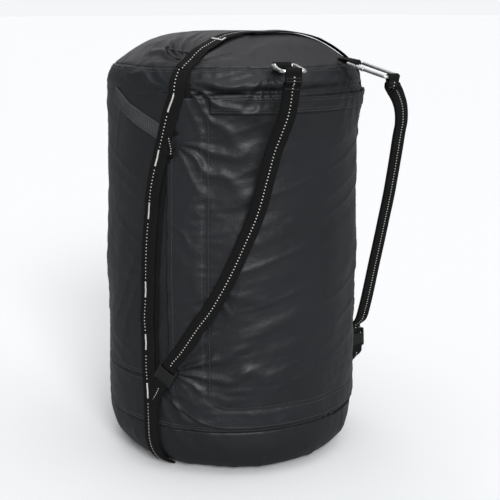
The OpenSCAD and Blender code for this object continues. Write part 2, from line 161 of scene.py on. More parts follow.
class Nodes:
    """A node material with short calls for the nodes used here."""

    def __init__(self, name):
        self.mat = bpy.data.materials.new(name)
        self.mat.use_nodes = True
        self.tree = self.mat.node_tree
        self.shader = self.tree.nodes["Principled BSDF"]

    def add(self, kind, inputs=None, **props):
        node = self.tree.nodes.new(kind)
        for k, v in props.items():
            setattr(node, k, v)
        for k, v in (inputs or {}).items():
            self.put(node.inputs[k], v)
        return node

    def put(self, socket, value):
        if isinstance(value, bpy.types.NodeSocket):
            self.tree.links.new(value, socket)
        elif isinstance(value, tuple) and len(value) == 3 and socket.type == "RGBA":
            socket.default_value = (*value, 1)
        else:
            socket.default_value = value

    def math(self, op, a, b=0.0, c=0.0):
        node = self.add("ShaderNodeMath", operation=op)
        for socket, value in zip(node.inputs, (a, b, c)):
            self.put(socket, value)
        return node.outputs[0]

    def vary(self, base, fac, reach):
        return self.math("ADD", base, self.math("MULTIPLY", fac, reach))

    def coords(self, kind="Object"):
        return self.add("ShaderNodeTexCoord").outputs[kind]

    def mapped(self, vector, **change):
        return self.add("ShaderNodeMapping", {"Vector": vector, **change}).outputs[0]

    def noise(self, vector, scale, detail=3.0, rough=0.55):
        return self.add("ShaderNodeTexNoise", {"Vector": vector, "Scale": scale, "Detail": detail,
                                               "Roughness": rough}).outputs["Fac"]

    def wave(self, vector, scale, axis="X", distortion=0.0):
        return self.add("ShaderNodeTexWave", {"Vector": vector, "Scale": scale,
                                              "Distortion": distortion, "Detail": 2.0},
                        bands_direction=axis).outputs["Fac"]

    def ramp(self, fac, *stops):
        node = self.add("ShaderNodeValToRGB", {"Fac": fac})
        ramp = node.color_ramp
        while len(ramp.elements) < len(stops):
            ramp.elements.new(0.5)
        for element, (pos, colour) in zip(ramp.elements, stops):
            element.position = pos
            element.color = (*colour, 1)
        return node.outputs["Color"]

    def mix(self, fac, a, b):
        node = self.add("ShaderNodeMix", {"Factor": fac}, data_type="RGBA")
        self.put(node.inputs["A"], a)
        self.put(node.inputs["B"], b)
        return node.outputs["Result"]

    def relief(self, height, distance, strength=1.0, below=None):
        inputs = {"Height": height, "Distance": distance, "Strength": strength}
        if below is not None:
            inputs["Normal"] = below
        return self.add("ShaderNodeBump", inputs).outputs["Normal"]

    def finish(self, colour, roughness, normal=None, **constants):
        self.put(self.shader.inputs["Base Color"], colour)
        self.put(self.shader.inputs["Roughness"], roughness)
        if normal is not None:
            self.put(self.shader.inputs["Normal"], normal)
        for k, v in constants.items():
            self.shader.inputs[k.replace("_", " ")].default_value = v
        return self.mat


def grey(v, tint=(1, 1, 1)):
    return tuple(v * t for t in tint)


def coated_fabric(name, base, tint, rough):
    """Thin coated nylon: a fine square weave, crumple marks and slightly uneven gloss."""
    m = Nodes(name)
    p = m.coords()
    broad = m.noise(p, 9.0, 4.0)
    fine = m.noise(p, 60.0, 5.0, 0.6)
    crumple = m.noise(p, 24.0, 6.0, 0.62)
    folds = m.math("ABSOLUTE", m.math("SUBTRACT", crumple, 0.5))
    weave = m.math("ADD", m.wave(p, 420.0, "X"), m.math("ADD", m.wave(p, 420.0, "Z"),
                                                       m.wave(p, 420.0, "Y")))
    colour = m.ramp(broad, (0.3, grey(base * 0.84, tint)), (0.7, grey(base * 1.18, tint)))
    colour = m.mix(m.math("MULTIPLY", fine, 0.25), colour, grey(base * 1.6, tint))
    roughness = m.vary(rough - 0.06, fine, 0.14)
    normal = m.relief(weave, 0.00003, 0.25)
    normal = m.relief(fine, 0.0007, 0.35, normal)
    normal = m.relief(folds, 0.006, 0.36, normal)
    return m.finish(colour, roughness, normal, IOR=1.45, Specular_IOR_Level=0.4)


def webbing(name, base):
    """Woven polyamide tape: ribs across, warp lines along, uneven fuzz, and painted highlights on the
    raised weave. UVs are millimetres.
    """
    m = Nodes(name)
    p = m.coords("UV")
    rib = m.wave(p, 0.34, "X", 0.35)
    warp = m.wave(p, 0.42, "Y", 0.2)
    herring = m.wave(m.mapped(p, Rotation=(0, 0, 0.785)),
                     0.25, "X", 0.2)
    fuzz = m.noise(p, 1.3, 5.0, 0.7)
    height = m.math("ADD", m.math("MULTIPLY", rib, warp), m.math("MULTIPLY", herring, 0.5))
    colour = m.ramp(fuzz, (0.25, grey(base * 0.6)), (0.75, grey(base * 1.7)))
    # paler where the weave stands high: painted highlights on the ribs
    colour = m.mix(m.math("MULTIPLY", height, 0.35), colour, grey(base * 2.2))
    normal = m.relief(height, 0.00035, 0.9)
    normal = m.relief(fuzz, 0.0005, 0.35, normal)
    return m.finish(colour, m.vary(0.66, fuzz, 0.25), normal,
                    Specular_IOR_Level=0.2)


def thread(name, base, tint=(1, 1, 1)):
    """Twisted sewing thread."""
    m = Nodes(name)
    p = m.coords()
    twist = m.wave(p, 900.0, "DIAGONAL", 0.5)
    soil = m.noise(p, 35.0, 4.0)
    colour = m.ramp(soil, (0.3, grey(base * 0.75, tint)), (0.75, grey(base * 1.1, tint)))
    return m.finish(colour, m.vary(0.5, soil, 0.3),
                    m.relief(twist, 0.0002, 0.6), Sheen_Weight=0.1)


def brushed_metal(name):
    m = Nodes(name)
    p = m.coords()
    streak = m.noise(m.mapped(p, Scale=(60, 900, 900)),
                     1.0, 4.0)
    scuff = m.noise(p, 180.0, 5.0, 0.7)
    colour = m.ramp(scuff, (0.3, (0.62, 0.62, 0.63)), (0.6, (0.86, 0.87, 0.88)))
    roughness = m.vary(0.2, streak, 0.25)
    return m.finish(colour, roughness, m.relief(scuff, 0.0002, 0.25), Metallic=1.0)


def dark_metal(name):
    m = Nodes(name)
    p = m.coords()
    wear = m.noise(p, 260.0, 5.0, 0.7)
    colour = m.ramp(wear, (0.45, (0.03, 0.03, 0.032)), (0.75, (0.09, 0.09, 0.095)))
    return m.finish(colour, m.vary(0.3, wear, 0.3),
                    m.relief(wear, 0.0002, 0.3), Metallic=0.6)


def moulded(name, base, rough=0.42):
    """Moulded plastic with a faint eroded texture and scuffs."""
    m = Nodes(name)
    p = m.coords()
    grain = m.noise(p, 1500.0, 3.0)
    scuff = m.noise(p, 120.0, 5.0, 0.7)
    colour = m.ramp(scuff, (0.35, grey(base, (0.95, 1, 1.04))), (0.8, grey(base * 1.5)))
    return m.finish(colour, m.vary(rough - 0.08, scuff, 0.22),
                    m.relief(grain, 0.0001, 0.35), Specular_IOR_Level=0.4)


def braid(name, base):
    """Braided cord, darker in the grooves between its strands and paler on their crowns: painted shade
    and painted highlights.
    """
    m = Nodes(name)
    p = m.coords()
    a = m.wave(p, 260.0, "DIAGONAL", 0.4)
    b = m.wave(m.mapped(p, Scale=(-1, 1, 1)),
               260.0, "DIAGONAL", 0.4)
    height = m.math("MAXIMUM", a, b)
    # colour follows the braid's height: painted shade in the grooves, painted highlights on the crowns
    colour = m.ramp(height, (0.3, grey(base * 0.5)), (0.9, grey(base * 1.6)))
    return m.finish(colour, 0.7, m.relief(height, 0.0004, 0.8), Sheen_Weight=0.15)


def zip_tape(name, base):
    """Fine woven tape, textured by place because it keeps its CAD mesh."""
    m = Nodes(name)
    p = m.coords()
    weave = m.math("MULTIPLY", m.wave(p, 330.0, "X"), m.wave(p, 330.0, "Z"))
    fuzz = m.noise(p, 700.0, 4.0, 0.7)
    colour = m.ramp(fuzz, (0.3, grey(base * 0.7)), (0.75, grey(base * 1.5)))
    return m.finish(colour, m.vary(0.62, fuzz, 0.25),
                    m.relief(weave, 0.0003, 0.7))


FABRIC = coated_fabric("fabric_wall", 0.0125, (0.86, 1.0, 1.18), 0.47)
# The top cloth is the wall fabric with about twice as pale a base colour, which is painted light for
# the top facing the sky; its slightly less blue tint is the cloth's own
FABRIC_TOP_PAINTED_LIGHT = coated_fabric("fabric_top_painted_light", 0.024, (0.99, 0.99, 1.1), 0.5)
POCKET_FABRIC = coated_fabric("fabric_pocket", 0.0145, (0.87, 1.0, 1.17), 0.46)
WEBBING = webbing("webbing_black", 0.0042)
THREAD = thread("thread_light", 0.85, (1, 0.99, 0.96))
THREAD_DARK = thread("thread_tonal", 0.06, (0.95, 1, 1.05))
THREAD_GREY = thread("thread_grey", 0.11, (0.97, 1, 1.03))
STRIP_FABRIC = coated_fabric("fabric_strip", 0.042, (0.93, 1.0, 1.08), 0.45)
BINDING = webbing("binding_tape", 0.005)
METAL = brushed_metal("aluminium_brushed")
ZIP_METAL = dark_metal("zip_dark_metal")
COIL = moulded("coil_nylon", 0.008, 0.4)
PLASTIC = moulded("buckle_acetal", 0.006, 0.45)
CORD = braid("cord_black", 0.005)
ZIP_TAPE = zip_tape("zip_tape", 0.008)

# ---------------------------------------------------------------- mesh pieces


def make_piece(name, verts, faces, material, body, uv=None, smooth=True, thick=0.0, node=None):
    """One mesh piece, from points in millimetres, riding on a body if one is named. Cloth gets
    its thickness inwards. node is the CAD node that the piece stands for."""
    mesh = bpy.data.meshes.new(name)
    mesh.from_pydata((np.asarray(verts, float) * MM).tolist(), [], [list(f) for f in faces])
    mesh.polygons.foreach_set("use_smooth", [smooth] * len(mesh.polygons))
    if uv is not None:
        layer = mesh.uv_layers.new(name="UVMap")
        corner = np.empty(len(mesh.loops), int)
        mesh.loops.foreach_get("vertex_index", corner)
        layer.data.foreach_set("uv", np.asarray(uv, float)[corner].ravel())
    mesh.materials.append(material)
    mesh.update()
    obj = bpy.data.objects.new(name, mesh)
    bpy.context.scene.collection.objects.link(obj)
    if body:
        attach(obj, body)
    if thick:
        add_modifier(obj, "SOLIDIFY", thickness=thick * MM, offset=-1)
    if node:
        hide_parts(node)
    return obj


def sheet_piece(name, points, material, body, thick, node=None, flip=False):
    """Cloth or plate over a grid of points."""
    faces = grid_faces(*points.shape[:2])
    return make_piece(name, points.reshape(-1, 3), faces[:, ::-1] if flip else faces, material,
                      body, thick=thick, node=node)


def joined_piece(name, parts, material, body, node=None):
    return make_piece(name, *join(parts)[:2], material, body, node=node)


def add_modifier(obj, kind, **props):
    mod = obj.modifiers.new(kind.lower(), kind)
    for k, v in props.items():
        setattr(mod, k, v)


def grid_faces(rows, cols, closed=False):
    """Quads of a grid of rows by cols points. closed joins the last column to the first."""
    n = cols if closed else cols - 1
    i, j = np.meshgrid(np.arange(rows - 1), np.arange(n), indexing="ij")
    k = (j + 1) % cols
    quad = np.stack([i * cols + j, i * cols + k, (i + 1) * cols + k, (i + 1) * cols + j], -1)
    return quad.reshape(-1, 4)


def capped_faces(rows, cols):
    """A grid closed round, with both of its ends filled."""
    return [*grid_faces(rows, cols, closed=True), list(range(cols - 1, -1, -1)),
            [(rows - 1) * cols + k for k in range(cols)]]


def trimmed(verts, faces, keep):
    """The faces whose points are all kept, and only the points that they use."""
    faces = faces[keep.ravel()[faces].all(1)]
    used = np.unique(faces)
    index = np.full(len(verts), -1)
    index[used] = np.arange(len(used))
    return verts[used], index[faces]


def join(parts):
    """Several (verts, faces) or (verts, faces, uv) as one."""
    verts, faces, uvs, start = [], [], [], 0
    for part in parts:
        verts.append(np.asarray(part[0], float))
        faces += [[i + start for i in f] for f in part[1]]
        if len(part) > 2:
            uvs.append(part[2])
        start += len(part[0])
    return np.vstack(verts), faces, (np.vstack(uvs) if uvs else None)


def strap_frames(points, across):
    """Tangent, side and outward directions along a strap."""
    t = tangents(points)
    side = np.asarray(across, float)
    side = unit(side - (side * t).sum(1, keepdims=True) * t)
    return t, side, unit(np.cross(t, side))


def strap_part(points, across, width, thick, crown=0.12):
    """Woven tape along points, with rounded selvedges. Its UVs are millimetres."""
    _, side, out = strap_frames(points, across)
    s = along(points)
    half = width / 2
    edge = min(thick * 0.5, 0.6)
    top = [(-half, 0.0), (-half + edge * 0.3, 0.72), (-half + edge, 1.0), (-half * 0.5, 1 + crown),
           (0, 1 + crown), (half * 0.5, 1 + crown), (half - edge, 1.0), (half - edge * 0.3, 0.72),
           (half, 0.0)]
    loop = top + [(x, -y) for x, y in top[-2:0:-1]]
    verts = [points + x * side + y * thick / 2 * out for x, y in loop]
    n, m = len(points), len(loop)
    verts = np.stack(verts, 1).reshape(-1, 3)
    uv = np.stack([np.stack([s, np.full(n, x + half)], 1) for x, _ in loop], 1).reshape(-1, 2)
    return verts, capped_faces(n, m), uv


def strap(name, points, across, width, thick, body, node=None):
    verts, faces, uv = strap_part(points, across, width, thick)
    return make_piece(name, verts, faces, WEBBING, body, uv, node=node)


def dash(centre, t, side, out, length, width, height):
    """One short stitch: a low pillow on a surface."""
    ring = [(-0.5, 0.0), (-0.36, 0.42), (0.36, 0.42), (0.5, 0.0), (0.36, -0.42), (-0.36, -0.42)]
    low = [centre + a * length * t + b * width * side - 0.1 * out for a, b in ring]
    high = [centre + a * 0.8 * length * t + b * 0.7 * width * side + height * out for a, b in ring]
    faces = [[5, 4, 3, 2, 1, 0], [6, 7, 8, 9, 10, 11]]
    faces += [[i, (i + 1) % 6, 6 + (i + 1) % 6, 6 + i] for i in range(6)]
    return np.array(low + high), faces


def dashes(points, side, out, pitch, length, width, height, skip=()):
    """Stitches along a line, given its side and outward directions. skip lists [from, to]
    stretches along the line that stay bare."""
    t = tangents(points)
    s = along(points)
    parts = []
    for at in np.arange(pitch / 2, s[-1], pitch):
        if any(a <= at <= b for a, b in skip):
            continue
        pick = [np.array([np.interp(at, s, q[:, k]) for k in range(3)])
                for q in (points, t, side, out)]
        parts.append(dash(pick[0], unit(pick[1]), unit(pick[2]), unit(pick[3]),
                          length, width, height))
    return join(parts)[:2]


def tube_part(points, radius, sides=12, flat_up=(0, 0, 1)):
    """A round tube along points, with one radius or one for each point."""
    t = tangents(points)
    up = np.asarray(flat_up, float)
    u = np.empty_like(points)
    last = unit(up - (up @ t[0]) * t[0]) if abs(up @ t[0]) < 0.95 else unit(np.cross(t[0], (1, 0, 0)))
    for i in range(len(points)):
        last = unit(last - (last @ t[i]) * t[i])
        u[i] = last
    v = np.cross(t, u)
    ang = np.arange(sides) * 2 * math.pi / sides
    radius = np.broadcast_to(radius, len(points))
    verts = np.stack([points + radius[:, None] * (math.cos(a) * u + math.sin(a) * v) for a in ang], 1)
    return verts.reshape(-1, 3), capped_faces(len(points), sides)


# ---------------------------------------------------------------- the tie cord comes first

TIE_ROUTE = [(-113.5, -62, 510.8), (-116, -54, 511.6), (-118.2, -46.5, 512.4),
             (-119.6, -41, 513.2), (-122.6, -36.8, 513.6), (-125.6, -41, 511),
             (-126.3, -46.5, 508.6), (-126.4, -55, 505.4), (-124.5, -62.5, 504)]
TIE_R, KNOT_R = 1.2, 1.15
tie_line = even(smooth_line(TIE_ROUTE, 0.8), 0.9)
tie_cord = make_piece("tie_cord_loop", *tube_part(tie_line, TIE_R), CORD, "bag", node="tie_cord")


def knot_curve(centre, size, turn_by):
    """A small overhand knot's centre line."""
    t = np.linspace(0, 2 * math.pi, 73)[:-1]
    x = np.sin(t) + 1.7 * np.sin(2 * t)
    y = np.cos(t) - 1.7 * np.cos(2 * t)
    z = -1.2 * np.sin(3 * t)
    p = np.stack([x, y, z], 1) * size
    c, s = math.cos(turn_by), math.sin(turn_by)
    p = p @ np.array([[c, s, 0], [-s, c, 0], [0, 0, 1]])
    tilt = np.array([[0.80, 0, 0.60], [0, 1, 0], [-0.60, 0, 0.80]])
    return p @ tilt.T + centre


knot_line = knot_curve(np.array([-123.6, -36.6, 514.6]), 1.25, 0.5)
knot = tube_part(np.vstack([knot_line, knot_line[:1]]), KNOT_R)
tail_line = even(smooth_line([(-122, -35, 515), (-119, -31, 516.6), (-115.4, -26.6, 518.6),
                              (-112.4, -22.6, 520.8)], 0.8), 0.9)
tail_r = KNOT_R - 0.25 * smooth01(np.arange(len(tail_line)), len(tail_line) - 4, len(tail_line))
tie_knot = joined_piece("tie_cord_knot", [knot, tube_part(tail_line, tail_r)], CORD, "bag", "tie_knot")

# ---------------------------------------------------------------- the soft skin of the bag

# The outline from the middle of the base (V = -139) up the wall, where V is the height, and
# over the shoulder to the top, where V goes on as the length of cloth.
corner = np.radians(np.linspace(0, 90, 25))
base_line = [(0, 0), (BODY_R - BASE_ROUND, 0)]
corner_line = [(BODY_R - BASE_ROUND * (1 - math.sin(c)), BASE_ROUND * (1 - math.cos(c)))
               for c in corner[1:]]
top_line = smooth_line(SHOULDER, 1.5)
outline = np.vstack([base_line, corner_line, top_line])
outline_v = along(outline)
outline_v += WALL_TOP - outline_v[len(base_line) + len(corner_line)]
V_MIN, V_MAX = outline_v[0], outline_v[-1]
V_SEAM = float(np.interp(SEAM_Z, outline[-len(top_line):, 1], outline_v[-len(top_line):]))
V_FOLD = 471.0
BASE_SEAM, BAND_SEAM = 60.0, 120.0


def profile(v):
    r = np.interp(v, outline_v, outline[:, 0])
    z = np.interp(v, outline_v, outline[:, 1])
    e = 1.2
    dr = np.interp(v + e, outline_v, outline[:, 0]) - np.interp(v - e, outline_v, outline[:, 0])
    dz = np.interp(v + e, outline_v, outline[:, 1]) - np.interp(v - e, outline_v, outline[:, 1])
    n = np.hypot(dr, dz)
    return r, z, dz / n, -dr / n


def fan(a, v, at_a, at_v, reach, folds, phase, facing, spread, height):
    """Folds that run out from one pulled point."""
    x, y = turn(a, at_a) * math.pi * BODY_R / 180, v - at_v
    r, way = np.hypot(x, y), np.degrees(np.arctan2(y, x))
    wander = value_noise(r / 24 + 50, way / 40 + 20, 5, 200)
    ridge = 0.5 + 0.5 * np.cos(np.radians(way) * folds + phase + 1.5 * wander)
    reachy = smooth01(r, 2, 16) * np.exp(-(r / reach) ** 1.6)
    return height * reachy * bump(turn(way, facing), 0, spread) * (1.7 * ridge ** 2.2 - 0.5)


def pucker(a, v, seam, reach, wave, height, seed):
    """Short folds across a level seam, and the groove that the stitches pull in."""
    n = int(round(2 * math.pi * BODY_R / wave))
    wander = ring_noise(a, v, 60, 30, seed) * 2.6
    ridge = 0.5 + 0.5 * np.cos(np.radians(a) * n + wander * 2)
    uneven = 0.5 + 0.6 * ring_noise(a, v * 0, 70, 50, seed + 1)
    near = np.exp(-(np.abs(v - seam) / reach) ** 1.3)
    groove = 0.55 * np.exp(-((v - seam) / 2.2) ** 2)
    return height * near * uneven * (1.6 * ridge ** 1.8 - 0.5) - groove


def stretched(a, v, angle, across, along, seed):
    """Noise drawn out along one direction over the wall, angle up from level."""
    x = turn(a, -40) * math.pi * BODY_R / 180
    c, s = math.cos(math.radians(angle)), math.sin(math.radians(angle))
    return value_noise((x * c + v * s) / along + 40, (-x * s + v * c) / across + 40, seed, 199, 199)


def calm(a, v):
    """0 over the front lid and its zip, where the cloth is held flat, and 1 elsewhere."""
    x = BODY_R * np.sin(np.radians(a))
    front = np.cos(np.radians(a)) < 0
    inside = (bump_box(x, LID_X0 - 8, LID_X1 + ZIP_W + 4, 16)
              * bump_box(v, LID_Z0 - ZIP_W - 10, LID_Z1 + ZIP_W + 6, 14))
    return np.where(front, 1 - inside, 1.0)


def bump_box(x, lo, hi, soft_edge):
    return smooth01(x, lo - soft_edge, lo) * (1 - smooth01(x, hi, hi + soft_edge))


def lean(a, v):
    """The bag sits a little skew: its foot is pushed one way and its top the other."""
    side = np.cos(np.radians(np.asarray(a, float) - 52))
    return side * np.interp(v, [-60, 0, 50, 100, 190, 250, 320, 400, 460, 500],
                            [0, -1, -4, -4, -3, -3, -2.4, -1.2, 1.8, 0])


# Where the wall is pulled, at azimuth and V: reach, number of folds, their phase, the way they
# face, their spread, and their height
WALL_PULLS = [
    (-59, 478, 84, 15, 0.6, -26, 70, 3.8), (-63, 410, 80, 13, 2.0, -26, 62, 3.4),
    (-68, 320, 60, 11, 1.0, -40, 50, 1.3), (-66, 132, 95, 15, 0.2, 12, 75, 3.6),
    (-72, 108, 70, 11, 1.4, -40, 70, 2.6), (-52, 236, 60, 11, 0.5, -10, 60, 2.0),
    (-40, 300, 55, 9, 2.6, 20, 55, 1.4), (-74, 250, 60, 9, 0.8, 190, 50, 1.1),
    (-64, 470, 80, 13, 0.3, 172, 60, 2.8), (62, 470, 70, 15, 1.6, 210, 80, 2.8),
    (72, 120, 70, 15, 1.1, 150, 150, 2.0), (-23, 492, 46, 17, 1.3, -90, 120, 2.2),
    (21, 492, 46, 17, 0.4, -90, 120, 2.2)]


def soft(a, v):
    """How far the cloth stands out from the plain outline, in millimetres."""
    a, v = np.broadcast_arrays(np.asarray(a, float), np.asarray(v, float))
    wall = smooth01(v, 40, 90) * (1 - smooth01(v, 440, 475))
    foot = 1 - smooth01(v, 20, 90)
    dome = smooth01(v, V_SEAM - 8, V_SEAM + 22)
    left = bump(turn(a, -112), 0, 58)
    back = bump(turn(a, 0), 0, 75)
    waist = np.interp(v, [100, 250, 320, 410, 445, 470], [0, 0, -3, -3.4, -0.5, 0])
    h = waist + 2.0 * wall * ring_noise(a, v, 90, 150, 11)
    h += 1.1 * wall * ring_noise(a, v, 40, 90, 12)
    # long slack folds, steeper on the left side, and crumples of crossing creases
    some = smooth01(ring_noise(a, v, 120, 110, 18), -0.35, 0.45)
    h += wall * some * 1.3 * (crease(stretched(a, v, 66, 24, 150, 13), 2.6) - 0.35)
    steep = crease(stretched(a, v, -24, 17, 120, 14), 2.8) - 0.33
    h += wall * (1 - some) * (0.3 + 0.4 * left) * 1.3 * steep
    h += wall * some * 0.7 * (crease(stretched(a, v, 10, 13, 90, 15), 3.0) - 0.3)
    h += 0.22 * (1 - 0.5 * back) * (crease(ring_noise(a, v, 13, 13, 16), 2.2) - 0.4)
    # folds pulled from the carrying strap, the daisy chain, the locks and the hooks
    for pull in WALL_PULLS:
        h += fan(a, v, *pull)
    # the fold over the pocket mouth under the collar
    mouth = bump_box(turn(a, 0), -55, 58, 12)
    sag = V_FOLD + 1.6 * ring_noise(a, v * 0, 60, 60, 17)
    h += (0.12 + 0.88 * mouth) * (-3.6 * np.exp(-((v - sag + 2) / 3.0) ** 2)
                                  + 1.6 * np.exp(-((v - sag - 6) / 6.0) ** 2))
    # gathered seams
    h += pucker(a, v, V_SEAM, 9, 17, 0.7, 21) + pucker(a, v, BASE_SEAM, 9, 21, 0.6, 23)
    h += pucker(a, v, BAND_SEAM, 9, 17, 0.6, 25)
    # slanting slack in the collar
    collar = bump_box(v, WALL_TOP + 4, V_SEAM - 4, 8) * (0.3 + 0.7 * mouth)
    h += collar * 1.6 * (crease(stretched(a, v, 16, 9, 70, 26), 2.6) - 0.3)
    h += collar * 1.5 * ring_noise(a, v, 55, 60, 27)
    # the top: gathers that run in from its seam and slack between them
    way_in = v - V_SEAM
    slant = a / 360 * 40 + way_in / 36
    gathers = crease(value_noise(slant, way_in / 90 + 3, 31, 40), 2.4)
    uneven = smooth01(ring_noise(a, v * 0, 90, 50, 33), -0.5, 0.4)
    h += dome * uneven * 2.6 * (gathers - 0.4) * np.exp(-np.maximum(way_in, 0) / 42)
    h += dome * 2.2 * ring_noise(a, v * 0 + way_in * 0.4, 130, 60, 32) * np.exp(-way_in / 90)
    h += dome * fan(a, v, -61, V_SEAM + 10, 90, 15, 0.9, 150, 80, 3.6)
    h += dome * fan(a, v, -57, V_SEAM + 6, 100, 15, 2.2, 28, 70, 3.4)
    # the foot: shallow dents, pressed flat where it stands
    h += foot * 1.6 * ring_noise(a, v, 70, 50, 41) * smooth01(v, -30, 12)
    h += foot * 1.6 * (crease(ring_noise(a, v, 30, 40, 42), 2.4) - 0.4) * smooth01(v, -26, 10)
    h *= smooth01(v, -27, -6)
    return h * calm(a, v)


def skin(a, v, off=0.0, extra=0.0):
    """Points of the bag's surface, raised by off, and their outward directions."""
    a, v = np.broadcast_arrays(np.asarray(a, float), np.asarray(v, float))
    r, z, nr, nz = profile(v)
    h = soft(a, v) + off + extra
    tilt = lean(a, v) * calm(a, v)
    pole = smooth01(r, 0, 45)
    h = off + (h - off) * pole
    point = polar(r + nr * h + tilt * smooth01(r, 20, 110), a, np.maximum(z + nz * h, 0.0))
    return point, polar(nr, a, nz)


AZ_STEP, ROW_STEP = 0.9, 2.4
CLOTH_T = 0.9
FAR_OFF = 99.0


def panel_rows(v0, v1):
    return np.linspace(v0, v1, max(2, int(round((v1 - v0) / ROW_STEP)) + 1))


def ring_panel(name, v0, v1, material, node, close=False):
    """Cloth all the way round. close fills in its last row with a flat fan."""
    rows, cols = panel_rows(v0, v1), np.arange(0, 360, AZ_STEP)
    verts = skin(*np.meshgrid(cols, rows))[0].reshape(-1, 3)
    faces = list(grid_faces(len(rows), len(cols), closed=True))
    if close:
        n, c = len(cols), len(verts)
        at = c - n
        verts = np.vstack([verts, verts[at:].mean(0)])
        faces += [[c, at + j, at + (j + 1) % n] for j in range(n)]
    make_piece(name, verts, faces, material, "bag", thick=CLOTH_T, node=node)


def hole_distance(x, z, grow):
    """Signed distance to the lid's outline grown by grow, negative inside."""
    r = LID_CORNER + grow
    x1, z0, z1 = LID_X1 + grow, LID_Z0 - grow, LID_Z1 + grow
    plain = np.maximum.reduce([x - x1, LID_X0 - x, z - z1, z0 - z])
    dx = x - (x1 - r)
    dz = np.where(z > (z0 + z1) / 2, z - (z1 - r), (z0 + r) - z)
    return np.where((dx > 0) & (dz > 0), np.hypot(dx, dz) - r, plain)


def snapped(x, z, d, grow, near):
    """Moves the points that are near the lid's grown outline, d away, onto it."""
    e = 0.2
    gx = (hole_distance(x + e, z, grow) - hole_distance(x - e, z, grow)) / (2 * e)
    gz = (hole_distance(x, z + e, grow) - hole_distance(x, z - e, grow)) / (2 * e)
    return np.where(near, x - d * gx, x), np.where(near, z - d * gz, z)


def front_azimuth(x):
    return 180 - np.degrees(np.arcsin(np.clip(x / BODY_R, -1, 1)))


def wall_panel():
    """The main wall, with the opening for the lid and its zip cut out at the front."""
    rows, cols = panel_rows(BAND_SEAM, WALL_TOP), np.arange(0, 360, AZ_STEP)
    a, v = np.meshgrid(cols, rows)
    x = BODY_R * np.sin(np.radians(a))
    d = np.where(np.cos(np.radians(a)) < 0, hole_distance(x, v, ZIP_W), FAR_OFF)
    near = np.abs(d) < 1.5
    x, v = snapped(x, v, d, ZIP_W, near)
    a = np.where(near, front_azimuth(x), a)
    faces = grid_faces(len(rows), len(cols), closed=True)
    cloth = trimmed(skin(a, v)[0].reshape(-1, 3), faces, d >= -1.5)
    make_piece("wall_cloth", *cloth, FABRIC, "bag", thick=CLOTH_T, node="main_wall")


ring_panel("bottom_cloth", V_MIN + 2, BASE_SEAM, FABRIC, "base_panel", close=True)
ring_panel("band_cloth", BASE_SEAM, BAND_SEAM, FABRIC, "lower_wall_band")
wall_panel()
ring_panel("collar_cloth", WALL_TOP, V_SEAM, FABRIC, "collar_band")
ring_panel("top_cloth", V_SEAM, V_MAX - 2, FABRIC_TOP_PAINTED_LIGHT, "top_panel", close=True)

# ---------------------------------------------------------------- the flat pocket

STITCH_IN, POCKET_LIFT = 25.0, 2.3
POCKET_SPAN = math.radians(66.7)


def back_azimuth(x):
    return np.degrees(np.arcsin(np.clip(np.asarray(x, float) / BODY_R, -1, 1)))


def pocket_foot(x):
    over = np.maximum(np.abs(x) - (POCKET_HALF - POCKET_CORNER), 0)
    return POCKET_Z0 + POCKET_CORNER - np.sqrt(np.maximum(POCKET_CORNER ** 2 - over ** 2, 0))


def pocket_inset(x, z):
    """How far a point lies in from the sewn edge of the pocket."""
    flat = np.minimum(POCKET_HALF - np.abs(x), z - POCKET_Z0)
    dx = np.abs(x) - (POCKET_HALF - POCKET_CORNER)
    dz = POCKET_Z0 + POCKET_CORNER - z
    round_in = POCKET_CORNER - np.hypot(dx, dz)
    return np.where((dx > 0) & (dz > 0), round_in, flat)


def pocket_puff(x, z):
    inset = pocket_inset(x, z)
    a = back_azimuth(x)
    frame_h = 0.7 * bump(inset, STITCH_IN / 2, STITCH_IN / 2 + 3)
    inner = 3.2 * smooth01(inset, STITCH_IN + 3, STITCH_IN + 34)
    channel = -0.9 * np.exp(-((inset - STITCH_IN) / 2.6) ** 2)
    ripple = 1.5 * (crease(ring_noise(a, z, 34, 10, 51), 2.0) - 0.4)
    ripple *= np.exp(-np.abs(inset - STITCH_IN) / 14) + 0.8 * np.exp(-inset / 8)
    slack = 1.5 * ring_noise(a, z, 110, 130, 52)
    slack = smooth01(inset, 20, 60) * (slack + 1.5 * (crease(stretched(a, z, 18, 17, 130, 53), 2.6)
                                                      - 0.35))
    mouth = 1.4 * smooth01(z, 440, POCKET_Z1) * (0.6 + 0.5 * ring_noise(a, z * 0, 70, 60, 54))
    return POCKET_LIFT + frame_h + inner + channel + ripple + slack + mouth


def on_pocket(x, z, off=0.0):
    return skin(back_azimuth(x), z, off, pocket_puff(x, z))


def pocket_panel():
    u = np.linspace(-1, 1, 171)
    x = POCKET_HALF * np.sin(u * POCKET_SPAN) / math.sin(POCKET_SPAN)
    t = np.linspace(0, 1, 161)
    x_grid, t_grid = np.meshgrid(x, t)
    z = pocket_foot(x_grid) + t_grid * (POCKET_Z1 - pocket_foot(x_grid))
    sheet_piece("pocket_cloth", on_pocket(x_grid, z)[0], POCKET_FABRIC, "bag", 1.3,
                "back_pocket_panel")


def pocket_hem():
    x, z = np.meshgrid(np.linspace(-118, 118, 141), np.linspace(443, 461.8, 10))
    roll = 0.9 + 0.5 * bump(z, 461, 4) + 0.3 * bump(z, 444.5, 3)
    sheet_piece("pocket_hem_cloth", on_pocket(x, z, roll)[0], POCKET_FABRIC, "bag", 1.2,
                "back_pocket_hem")


pocket_panel()
pocket_hem()

# ---------------------------------------------------------------- seams: rows of stitches


def stitch_row(points, out, pitch=3.4, length=2.5, width=0.7, height=0.35, skip=()):
    t = tangents(points)
    return dashes(points, np.cross(out, t), out, pitch, length, width, height, skip)


def level_row(v, a0=0, a1=360, off=0.15):
    a = np.arange(a0, a1 + 0.01, 0.7)
    a = np.append(a, a1) if a[-1] < a1 else a
    return stitch_row(*skin(a, v, off))


